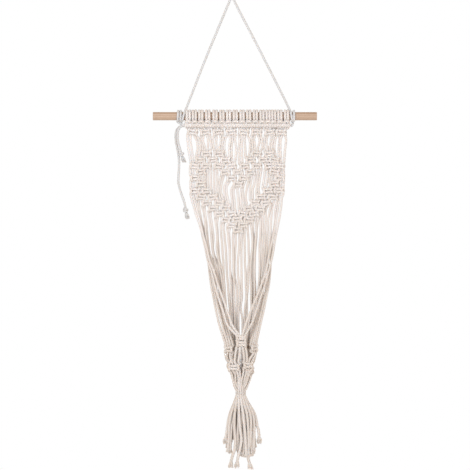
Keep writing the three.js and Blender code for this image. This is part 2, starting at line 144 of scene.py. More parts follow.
@dataclass(frozen=True)
class TwistedCotton:
    """Natural three-ply cotton cord, spun and laid, matt with a soft halo of fibre.

    The plies show as raised crowns, with painted shade darkening the grooves between them, and
    fine fibres run along the cord.
    Light goes a little way into the loose yarn, which softens every edge. Single fibres are
    too fine to show, so they are drawn in wisps of fibre_width by fibre_length millimetres.
    """

    name: str = "twisted_natural_cotton"
    pale: str = "#E8E1DE"
    warm: str = "#DFD6D0"
    # The colour that the valleys between plies are darkened towards: painted shade, not the
    # yarn's own colour.
    groove_shade: str = "#C2B5AB"
    fibre_width: float = 0.35
    fibre_length: float = 5.0
    cloud_size: float = 60.0
    relief: float = 0.12

    def material(self) -> bpy.types.Material:
        """Builds the node material.

        Returns:
            A material that reads the cord's own crown, fibre and tone attributes.
        """
        made = new_material(self.name)
        crown, fibre, tone = (
            add_node(made, "ShaderNodeAttribute", {"attribute_name": name})
            for name in ("crown", "fibre", "tone")
        )
        stretch = (1 / self.fibre_width, 1 / self.fibre_width, 1 / self.fibre_length)
        lie = add_node(
            made,
            "ShaderNodeMapping",
            values={"Scale": stretch},
            links={"Vector": fibre.outputs["Vector"]},
        )
        strands = add_node(
            made,
            "ShaderNodeTexNoise",
            values={"Scale": 1.0, "Detail": 3.0, "Roughness": 0.6},
            links={"Vector": lie.outputs["Vector"]},
        )
        place = add_node(made, "ShaderNodeTexCoord")
        clouds = add_node(
            made,
            "ShaderNodeTexNoise",
            values={"Scale": 1 / (self.cloud_size * MM), "Detail": 2.0},
            links={"Vector": place.outputs["Object"]},
        )
        # The tone attribute holds each cord's own random tone plus painted shade below the panel.
        # With the cloud noise it moves the colour from pale towards warm, and past warm for the
        # darker shade.
        drift = add_node(
            made,
            "ShaderNodeMath",
            {"operation": "ADD"},
            links={0: tone.outputs["Fac"], 1: clouds.outputs["Fac"]},
        )
        share = add_node(
            made,
            "ShaderNodeMapRange",
            {"clamp": False},
            {"From Min": 0.35, "From Max": 1.45},
            links={"Value": drift.outputs["Value"]},
        )
        yarn = add_node(
            made,
            "ShaderNodeMix",
            {"data_type": "RGBA", "clamp_factor": False},
            {"A": linear(self.pale), "B": linear(self.warm)},
            {"Factor": share.outputs["Result"]},
        )
        # Painted shade: where the crown attribute is low, in the valleys between plies, the yarn
        # colour is darkened towards the dark valley colour.
        depth = add_node(
            made,
            "ShaderNodeMapRange",
            values={"From Min": 0.0, "From Max": 0.8, "To Min": 0.6, "To Max": 0.0},
            links={"Value": crown.outputs["Fac"]},
        )
        shaded = add_node(
            made,
            "ShaderNodeMix",
            {"data_type": "RGBA"},
            {"B": linear(self.groove_shade)},
            {"Factor": depth.outputs["Result"], "A": yarn.outputs["Result"]},
        )
        fleck = add_node(
            made,
            "ShaderNodeMapRange",
            values={"From Min": 0.3, "From Max": 0.7, "To Min": 0.93, "To Max": 1.04},
            links={"Value": strands.outputs["Fac"]},
        )
        colour = add_node(
            made,
            "ShaderNodeVectorMath",
            {"operation": "SCALE"},
            links={0: shaded.outputs["Result"], "Scale": fleck.outputs["Result"]},
        )
        nap = add_node(
            made,
            "ShaderNodeBump",
            values={"Strength": 0.5, "Distance": self.relief * MM},
            links={"Height": strands.outputs["Fac"]},
        )
        surface = add_node(
            made,
            "ShaderNodeBsdfPrincipled",
            values={
                "Roughness": 0.92,
                "IOR": 1.53,
                "Specular IOR Level": 0.15,
                "Sheen Weight": 0.12,
                "Sheen Roughness": 0.6,
                "Subsurface Weight": 0.5,
                "Subsurface Radius": (1.0, 0.84, 0.7),
                "Subsurface Scale": 1.1 * MM,
            },
            links={"Base Color": colour.outputs["Vector"], "Normal": nap.outputs["Normal"]},
        )
        add_node(made, "ShaderNodeOutputMaterial", links={"Surface": surface.outputs["BSDF"]})
        return made


@dataclass(frozen=True)
class SandedBeech:
    """Turned and sanded beech, left raw: pale tan, faint rings, fine dark pores along it.

    The rings are about ring_width millimetres apart, round a heart that lies beside the rod,
    and ring_stretch draws them out along it. The pores are a little wider than real ones, so
    that they show.
    """

    name: str = "sanded_raw_beech"
    pale: str = "#BDA491"
    dark: str = "#AD9078"
    pore: str = "#92745C"
    ring_width: float = 2.6
    ring_stretch: float = 0.15
    heart: Place = (0.0, 0.021, 0.19)
    pore_width: float = 0.35
    pore_length: float = 9.0

    def material(self) -> bpy.types.Material:
        """Builds the node material.

        Returns:
            A material on Object coordinates, with rings round an axis along X.
        """
        made = new_material(self.name)
        place = add_node(made, "ShaderNodeTexCoord")
        heart = add_node(
            made,
            "ShaderNodeMapping",
            values={"Location": self.heart, "Scale": (self.ring_stretch, 1.0, 1.0)},
            links={"Vector": place.outputs["Object"]},
        )
        rings = add_node(
            made,
            "ShaderNodeTexWave",
            {"wave_type": "RINGS", "rings_direction": "X"},
            {
                "Scale": 0.31 / (self.ring_width * MM),
                "Distortion": 2.2,
                "Detail": 3.0,
                "Detail Scale": 0.6,
            },
            {"Vector": heart.outputs["Vector"]},
        )
        thin = 1 / (self.pore_width * MM)
        lie = add_node(
            made,
            "ShaderNodeMapping",
            values={"Scale": (1 / (self.pore_length * MM), thin, thin)},
            links={"Vector": place.outputs["Object"]},
        )
        pores = add_node(
            made,
            "ShaderNodeTexNoise",
            values={"Scale": 1.0, "Detail": 2.0, "Roughness": 0.55},
            links={"Vector": lie.outputs["Vector"]},
        )
        wood = add_node(
            made,
            "ShaderNodeMix",
            {"data_type": "RGBA"},
            {"A": linear(self.pale), "B": linear(self.dark)},
            {"Factor": rings.outputs["Fac"]},
        )
        open_pore = add_node(
            made,
            "ShaderNodeMapRange",
            values={"From Min": 0.58, "From Max": 0.72, "To Min": 0.0, "To Max": 0.6},
            links={"Value": pores.outputs["Fac"]},
        )
        colour = add_node(
            made,
            "ShaderNodeMix",
            {"data_type": "RGBA"},
            {"B": linear(self.pore)},
            {"Factor": open_pore.outputs["Result"], "A": wood.outputs["Result"]},
        )
        grain = add_node(
            made,
            "ShaderNodeBump",
            values={"Strength": 0.35, "Distance": 0.1 * MM},
            links={"Height": pores.outputs["Fac"]},
        )
        surface = add_node(
            made,
            "ShaderNodeBsdfPrincipled",
            values={"Roughness": 0.62, "IOR": 1.5, "Specular IOR Level": 0.35},
            links={
                "Base Color": colour.outputs["Result"],
                "Normal": grain.outputs["Normal"],
            },
        )
        add_node(made, "ShaderNodeOutputMaterial", links={"Surface": surface.outputs["BSDF"]})
        return made


@dataclass(frozen=True)
class MattPaint:
    """Plain matt paint on a studio floor: pale, even and without gloss."""

    name: str = "pale_matt_paint"
    colour: str = "#F2F1EF"

    def material(self) -> bpy.types.Material:
        """Builds the node material with a trace of roller mottle.

        Returns:
            A material on Object coordinates.
        """
        made = new_material(self.name)
        place = add_node(made, "ShaderNodeTexCoord")
        mottle = add_node(
            made,
            "ShaderNodeTexNoise",
            values={"Scale": 90.0, "Detail": 2.0},
            links={"Vector": place.outputs["Object"]},
        )
        nap = add_node(
            made,
            "ShaderNodeBump",
            values={"Strength": 0.1, "Distance": 0.2 * MM},
            links={"Height": mottle.outputs["Fac"]},
        )
        surface = add_node(
            made,
            "ShaderNodeBsdfPrincipled",
            values={"Base Color": linear(self.colour), "Roughness": 0.9},
            links={"Normal": nap.outputs["Normal"]},
        )
        add_node(made, "ShaderNodeOutputMaterial", links={"Surface": surface.outputs["BSDF"]})
        return made


@dataclass(frozen=True)
class Rope:
    """The make of a twisted cord.

    Its section has one crown a ply, and the plies turn once round the cord in each lay.
    """

    radius: float = 2.4
    plies: int = 3
    lay: float = 15.0
    crown: tuple[float, ...] = (1.0, 0.93, 0.78, 0.93)
    step: float = 1.3

    def section(self) -> np.ndarray:
        """The section's radii, corner by corner, as shares of the radius."""
        return np.array(self.crown * self.plies)


@dataclass(frozen=True)
class Fibre:
    """The make of one lock of loose yarn at a cut end: thin, tapering and four-sided."""

    radius: float = 0.62
    sides: int = 4

    def section(self) -> np.ndarray:
        """The section's radii, corner by corner, as shares of the radius."""
        return np.ones(self.sides)


CORD = Rope()
BINDING = Rope(radius=0.75, lay=5.0, step=0.9)

# The spacing at which a curve is worked out, before it is cut into even steps.
CURVE_STEP = 0.4


class CordLine:
    """A cord's centre line, evenly stepped, with a frame at each step that doesn't twist."""

    def __init__(self, points: list[Point], step: float) -> None:
        """Runs a smooth line through the points.

        Args:
            points: x, y, z and thickness, in order along the cord.
            step: the distance between the line's steps.
        """
        smooth = self._smooth(np.array(points, float))
        lengths = np.linalg.norm(np.diff(smooth[:, :3], axis=0), axis=1)
        along = np.concatenate([[0.0], np.cumsum(lengths)])
        count = max(2, round(along[-1] / step) + 1)
        self.along = np.linspace(0, along[-1], count)
        self.places = np.stack(
            [np.interp(self.along, along, smooth[:, k]) for k in range(3)], axis=1
        )
        self.thickness = np.interp(self.along, along, smooth[:, 3])
        self._set_frames()

    @staticmethod
    def _smooth(points: np.ndarray) -> np.ndarray:
        """Fills in a centripetal Catmull-Rom curve.

        Args:
            points: one row a point, its place in the first three columns.

        Returns:
            The curve's rows, close together.
        """
        first = 2 * points[0] - points[1]
        last = 2 * points[-1] - points[-2]
        p = np.vstack([first, points, last])
        gaps = np.linalg.norm(np.diff(p[:, :3], axis=0), axis=1) ** 0.5
        t = np.concatenate([[0.0], np.cumsum(np.maximum(gaps, 1e-3))])
        rows = []
        for i in range(1, len(p) - 2):
            reach = np.linalg.norm(p[i + 1, :3] - p[i, :3])
            u = np.linspace(t[i], t[i + 1], max(3, int(reach / CURVE_STEP) + 2))[:-1, None]

            def blend(a: np.ndarray, b: np.ndarray, ta: float, tb: float) -> np.ndarray:
                """Moves from a to b as u goes from ta to tb."""
                return ((tb - u) * a + (u - ta) * b) / (tb - ta)

            a1 = blend(p[i - 1], p[i], t[i - 1], t[i])
            a2 = blend(p[i], p[i + 1], t[i], t[i + 1])
            a3 = blend(p[i + 1], p[i + 2], t[i + 1], t[i + 2])
            b1 = blend(a1, a2, t[i - 1], t[i + 1])
            b2 = blend(a2, a3, t[i], t[i + 2])
            rows.append(blend(b1, b2, t[i], t[i + 1]))
        rows.append(points[-1:])
        return np.vstack(rows)

    def _set_frames(self) -> None:
        """Carries one pair of cross directions along the line."""
        tangents = np.gradient(self.places, axis=0)
        tangents /= np.linalg.norm(tangents, axis=1, keepdims=True)
        seed = np.array([0.0, 1.0, 0.0])
        if abs(tangents[0] @ seed) > 0.9:
            seed = np.array([1.0, 0.0, 0.0])
        across = np.zeros_like(tangents)
        for i, tangent in enumerate(tangents):
            seed = seed - tangent * (tangent @ seed)
            seed = seed / np.linalg.norm(seed)
            across[i] = seed
        self.across = across
        self.beside = np.cross(tangents, across)


# Painted shade: the cords are coloured darker below the panel, standing in for the light that
# falls off towards the bottom: where that starts, over how many millimetres it comes in, and how
# much it adds to the tone.
SHADE_FALLOFF_TOP = -400.0
SHADE_FALLOFF_REACH = 50.0
SHADE_FALLOFF_TONE = 0.9

# How far apart the cords' fibre patterns are taken, so that no two cords look the same.
FIBRE_SHIFT = 1000.0


class CordMesh:
    """Gathers tubes along cord lines into one mesh."""

    def __init__(self) -> None:
        """Starts empty."""
        self.places: list[np.ndarray] = []
        self.faces: list[list[int]] = []
        self.crown: list[np.ndarray] = []
        self.fibre: list[np.ndarray] = []
        self.tone: list[np.ndarray] = []
        self.count = 0

    def add(
        self,
        line: CordLine,
        make: Rope | Fibre,
        tone: float,
        first: int = 0,
        last: int | None = None,
    ) -> None:
        """Adds a closed tube along a stretch of a line.

        Args:
            line: the cord's centre line.
            make: what the cord is.
            tone: the yarn's own tone, from 0 to 1, to which painted shade is added below the
                panel.
            first: the first step of the stretch.
            last: the step after the last of the stretch.
        """
        part = slice(first, last)
        section = make.section()
        sides = len(section)
        along = line.along[part]
        corner = np.arange(sides) / sides
        turn = along / make.lay if isinstance(make, Rope) else along * 0.0
        angle = 2 * math.pi * (corner[None, :] + turn[:, None])
        radius = make.radius * line.thickness[part][:, None] * section[None, :]
        cos, sin = np.cos(angle)[..., None], np.sin(angle)[..., None]
        ring = cos * line.across[part][:, None] + sin * line.beside[part][:, None]
        places = line.places[part][:, None] + radius[..., None] * ring
        rings = len(along)
        self.places.append(places.reshape(-1, 3))
        # crown is 1 on a ply's crest and 0 in the valley between plies; the material paints shade
        # into the valleys from it.
        low, high = section.min(), max(section.max(), section.min() + 1e-6)
        crown = (section - low) / (high - low) if isinstance(make, Rope) else section
        self.crown.append(np.tile(crown, rings))
        spread = np.broadcast_to(along[:, None, None], (rings, sides, 1))
        unrolled = np.concatenate([make.radius * cos, make.radius * sin, spread], axis=2)
        self.fibre.append((unrolled + FIBRE_SHIFT * tone).reshape(-1, 3))
        # Painted shade: below the panel the tone is pushed darker, as the light falls off towards
        # the bottom.
        shade_falloff = np.clip((SHADE_FALLOFF_TOP - line.places[part][:, 2]) / SHADE_FALLOFF_REACH, 0.0, 1.0)
        self.tone.append(np.repeat(tone + SHADE_FALLOFF_TONE * shade_falloff, sides))
        grid = self.count + np.arange(rings * sides).reshape(rings, sides)
        beside = np.roll(grid, -1, axis=1)
        walls = np.stack([grid[:-1], beside[:-1], beside[1:], grid[1:]], axis=2)
        self.faces.extend(walls.reshape(-1, 4).tolist())
        self.faces.append(grid[0][::-1].tolist())
        self.faces.append(grid[-1].tolist())
        self.count += rings * sides

    def make(
        self, name: str, material: bpy.types.Material, nodes: Iterable[str] = ()
    ) -> bpy.types.Object:
        """Writes the mesh and sets the piece on the body.

        Args:
            name: the piece's name.
            material: its finish.
            nodes: the CAD nodes that it stands for.

        Returns:
            The finished piece.
        """
        mesh = bpy.data.meshes.new(name)
        mesh.from_pydata((np.vstack(self.places) * MM).tolist(), [], self.faces)
        for title, rows, kind, key in (
            ("crown", self.crown, "FLOAT", "value"),
            ("tone", self.tone, "FLOAT", "value"),
            ("fibre", self.fibre, "FLOAT_VECTOR", "vector"),
        ):
            values = np.concatenate(rows).astype(np.float32).ravel()
            mesh.attributes.new(title, kind, "POINT").data.foreach_set(key, values)
        mesh.materials.append(material)
        mesh.shade_smooth()
        piece = set_out(name, mesh)
        settle(piece, nodes)
        return piece


def settle(piece: bpy.types.Object, nodes: Iterable[str] = ()) -> None:
    """Sets a finished piece on the body, in place of its CAD nodes.

    Args:
        piece: the finished object.
        nodes: the CAD nodes that it stands for.
    """
    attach(piece, BODY)
    if nodes:
        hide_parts(*nodes)
    faces = sum(len(p.vertices) - 2 for p in piece.data.polygons)
    log.info("%s: %d triangles", piece.name, faces)


def deselect() -> None:
    """Leaves nothing selected, so that an operator acts on the new piece alone."""
    bpy.ops.object.select_all(action="DESELECT")


# A square knot of four cords, drawn at 16.5 by 10.6 mm about its own centre. The over cord
# crosses in front of the fillers twice. The bump cord passes behind them and comes out on
# the other side, where it stands up as a bump in front of both crossings. Each half is
# mirrored top to bottom.
OVER_HALF = (
    (-6.9, 0.5, 4.7), (-6.8, -0.1, 3.9), (-5.2, -1.9, 2.75), (-2.4, -3.1, 2.3), (0.4, -3.5, 2.1),
    (3.2, -3.0, 2.0), (5.8, -1.0, 1.95), (7.1, 0.6, 1.3), (7.4, 1.0, 0.0),
)
BUMP_HALF = (
    (7.0, -1.0, 4.8), (7.1, -3.0, 3.9), (6.5, -3.9, 2.7), (5.3, -2.2, 1.0), (3.9, 2.0, 0.8),
    (0.4, 3.5, 1.9), (-2.9, 2.8, 3.2), (-4.1, -0.4, 4.0), (-5.2, -3.5, 3.4), (-6.0, -4.3, 1.9),
    (-6.2, -4.5, 0.0),
)
KNOT_WIDTH = 16.5
KNOT_HEIGHT = 10.6
KNOT_DEPTH = 11.4
# How much the cord's thickness spreads in the knot, how far up the knot a filler runs
# straight, and how far each filler lies from the knot's middle.
KNOT_SQUASH = 1.1
FILLER_REACH = 0.56
FILLER_PLACE = 2.3


def whole(half: tuple[Place, ...]) -> list[Place]:
    """Mirrors the upper half of a knot's cord into its lower half."""
    return list(half) + [(x, y, -z) for x, y, z in reversed(half[:-1])]


@dataclass(frozen=True)
class SquareKnot:
    """One square knot, tied by its outer cords round the inner ones.

    cords names its strands from left to right. turn is how far its front looks away from
    the viewer, in degrees to the right, and roll how far it leans to the left.
    """

    x: float
    y: float
    z: float
    cords: tuple[int, ...]
    width: float = 18.8
    height: float = 12.8
    depth: float = 11.8
    face: Face = Face.LEFT
    turn: float = 0.0
    roll: float = 0.0

    def route(self, cord: int) -> list[Point]:
        """The points that one of its strands passes, from above to below.

        Args:
            cord: the strand's number.

        Returns:
            The points, with the cord's thickness at each.
        """
        order = self.cords.index(cord)
        if order in (1, 2):
            return self._filler(order)
        is_over = (order == 0) == (self.face is Face.LEFT)
        shape = whole(OVER_HALF if is_over else BUMP_HALF)
        side = self.face.value
        return [self._place(side * x, y, z) for x, y, z in shape]

    def _filler(self, order: int) -> list[Point]:
        """The straight run of an inner cord."""
        x = (2 * order - 3) * FILLER_PLACE
        top = FILLER_REACH * KNOT_HEIGHT / 2
        return [self._place(x, 0.0, z) for z in (top, 0.0, -top)]

    def _place(self, x: float, y: float, z: float) -> Point:
        """Scales a point of the drawn knot to this knot's size, turn and place."""
        roll = math.radians(self.roll)
        wide = x * self.width / KNOT_WIDTH
        high = z * self.height / KNOT_HEIGHT
        across = wide * math.cos(roll) - high * math.sin(roll)
        depth = y * self.depth / KNOT_DEPTH
        turn = math.radians(self.turn)
        return (
            self.x + across * math.cos(turn) - depth * math.sin(turn),
            self.y + across * math.sin(turn) + depth * math.cos(turn),
            self.z + wide * math.sin(roll) + high * math.cos(roll),
            KNOT_SQUASH,
        )


def between(table: list[tuple[float, ...]], z: float, column: int) -> float:
    """Reads a value at a height from rows that run from top to bottom.

    Args:
        table: rows that start with their height.
        z: the height.
        column: which value of a row.

    Returns:
        The value, in proportion between the rows above and below.
    """
    heights = [-row[0] for row in table]
    return float(np.interp(-z, heights, [row[column] for row in table]))


# How the strands hang, from the heading down. HEADS has the middle of each lark's head, and
# BAR_CORE the places along the bar's core. COLUMN_PITCH has the width of a half column left
# and right of the panel's centre by height, PANEL_EDGE the outermost strands' places, and
# KNOT_ROWS each row's height and half columns.
STRANDS = 32
DOWEL_Z = -214.9
DOWEL_RADIUS = 7.5
BAR_Z = -230.7
BAR_Y = -2.0
HEAD_THICKNESS = 1.15
BAR_CORE = (-90.2, -60.0, -20.0, 20.0, 60.0, 100.0, 107.4)
BAR_TONE = 0.4
BAR_EXIT = 6.6
BAR_EXIT_THICKNESS = 0.95
PANEL_TOP = -238.1
PANEL_END = -430.15
NECK_TOP = -720.2
PANEL_CENTRE = 10.1
OUTER_COLUMN = 5.0
EDGE_COLUMN = 7.75
HEADS = (
    -79.9, -68.8, -56.9, -44.3, -30.9, -18.3, -6.2, 6.0,
    18.5, 30.5, 42.8, 54.9, 66.0, 76.4, 87.4, 99.7,
)
COLUMN_PITCH = [
    (-238.0, 11.9, 11.6),
    (-284.0, 11.4, 11.6),
    (-328.0, 11.4, 11.6),
    (-372.0, 11.4, 10.4),
    (-400.0, 11.2, 10.2),
    (-430.0, 9.4, 9.2),
]
PANEL_EDGE = [
    (-238.0, -81.5, 98.5),
    (-270.0, -79.4, 94.2),
    (-295.0, -76.4, 93.6),
    (-368.0, -75.2, 93.6),
    (-392.0, -67.3, 88.7),
    (-405.0, -61.8, 86.0),
    (-430.0, -53.8, 80.5),
]
KNOT_ROWS = (
    (-243.8, (-7, -5, -3, -1, 1, 3, 5, 7)),
    (-284.0, (-5, -3, 3, 5)),
    (-295.0, (-6, -4, -2, 2, 4, 6)),
    (-306.0, (-7, -5, -3, -1, 1, 3, 5, 7)),
    (-317.0, (-6, -2, 0, 2, 6)),
    (-328.0, (-7, -1, 1, 7)),
    (-339.2, (-6, 0, 6)),
    (-351.2, (-7, -5, 5, 7)),
    (-362.7, (-6, -4, 4, 6)),
    (-373.7, (-5, -3, 3, 5)),
    (-383.2, (-4, -2, 2, 4)),
    (-393.8, (-3, -1, 1, 3)),
    (-404.4, (-2, 0, 2)),
    (-414.0, (-1, 1)),
    (-423.0, (0,)),
)

# Half of a lark's head: place across, degrees from the dowel's top towards the front, and
# distance from the dowel's axis. The other half is its mirror image.
HEAD_HALF = (
    (-2.6, 138, 10.1), (-2.6, 112, 9.9), (-2.6, 80, 9.9), (-2.6, 45, 9.9), (-2.6, 10, 9.9),
    (-2.6, -25, 9.8), (-2.5, -60, 9.7), (-2.6, -95, 9.7), (-3.1, -130, 9.7), (-3.7, -165, 9.9),
    (-4.2, -190, 11.0), (-4.1, -208, 12.6), (-2.5, -222, 13.7), (0.0, -227, 14.1),
)

# The two turns of a double half hitch round the bar's core: place across, depth and height
# from the core. HITCH_EASY has the thickness of the turns that aren't pulled tight.
HITCH_TURNS = (
    (0.0, -3.0, 6.0), (0.0, 0.8, 5.0), (-0.4, 4.0, 1.6), (-0.9, 4.0, -1.6), (-1.4, 1.6, -3.7),
    (-1.5, -1.6, -3.7), (-1.5, -3.9, -1.2), (-1.5, -3.9, 1.2), (-1.5, -1.6, 3.7),
    (-0.9, 1.6, 3.7), (0.3, 3.6, 1.2), (0.9, 3.6, -1.2), (1.4, 1.6, -3.7), (1.5, -1.6, -3.7),
    (1.5, -3.9, -1.2), (1.5, -3.9, 1.2), (1.5, -1.6, 3.7), (1.2, 1.6, 3.7), (0.6, 4.4, 1.0),
    (0.2, 4.2, -2.0), (0.0, 1.4, -4.8),
)
HITCH_THICKNESS = 0.86
HITCH_EASY = {0: 1.0, 1: 0.9, 20: 0.9}

# The panel's knots: their width, which is more in the top row, and their height. A free run
# shorter than SHORT_RUN has no point of its own, and one within GUIDE_CLEAR of a knot is
# left out.
TOP_ROW_WIDTH = 19.8
PANEL_KNOT_WIDTH = 19.2
PANEL_KNOT_HEIGHT = 12.8
SHORT_RUN = 13.0
GUIDE_CLEAR = 4.0

# Where each strand hangs in the loose row: a third of the way down it, and two thirds.
LOOSE_ROW_Z = -258.5
LOOSE_ROW = (
    -81.4, -76.1, -64.7, -59.4, -56.0, -53.2, -43.9, -39.1,
    -34.8, -28.9, -20.1, -16.3, -12.8, -3.5, 0.9, 5.5,
    13.9, 18.3, 23.4, 32.0, 36.4, 40.6, 50.7, 54.9,
    59.3, 63.3, 71.3, 75.2, 79.0, 86.9, 89.1, 98.8,
)
LOOSE_ROW_LOW_Z = -273.5
LOOSE_ROW_LOW = (
    -79.7, -73.9, -62.9, -57.8, -53.8, -49.6, -44.1, -37.7,
    -33.3, -28.2, -23.0, -18.3, -14.1, -5.3, -0.9, 7.7,
    12.8, 17.9, 24.1, 32.9, 37.7, 42.4, 47.6, 54.7,
    58.9, 64.4, 68.4, 72.4, 77.2, 85.4, 88.5, 97.3,
)
LOOSE_ROW_DEPTH = (
    -0.6, 0.8, 0.4, -0.6, 0.7, -0.8, 0.2, 0.6, -0.7, 0.5, 0.0, -0.6, 0.5, -0.5, 0.6, -0.8,
    0.7, -0.6, 0.6, -0.5, 0.3, -0.4, 0.6, -0.6, 0.5, -0.7, 0.4, -0.3, -0.6, 1.6, -1.6, 0.8,
)

# Free runs of the inner strands between the two V shapes: strand, height and place across.
GUIDES = {
    10: ((-349.9, -24.5),),
    11: ((-349.9, -20.7),),
    12: ((-344.4, -14.3), (-360.9, -12.8)),
    13: ((-344.4, -9.9), (-360.9, -8.6)),
    14: ((-338.9, -2.2), (-349.9, -1.3), (-368.2, 0.0)),
    15: ((-338.9, 2.4), (-349.9, 3.1), (-368.2, 4.4)),
    16: ((-348.1, 10.2), (-368.2, 11.3)),
    17: ((-348.1, 14.6), (-368.2, 15.4)),
    18: ((-344.4, 20.5), (-360.9, 20.1)),
    19: ((-337.1, 31.1), (-349.9, 26.7), (-360.9, 24.9)),
    20: ((-338.9, 34.0), (-349.9, 32.9)),
    21: ((-338.9, 40.6), (-349.9, 37.7)),
    22: ((-349.9, 45.0),),
    23: ((-349.9, 48.7),),
}

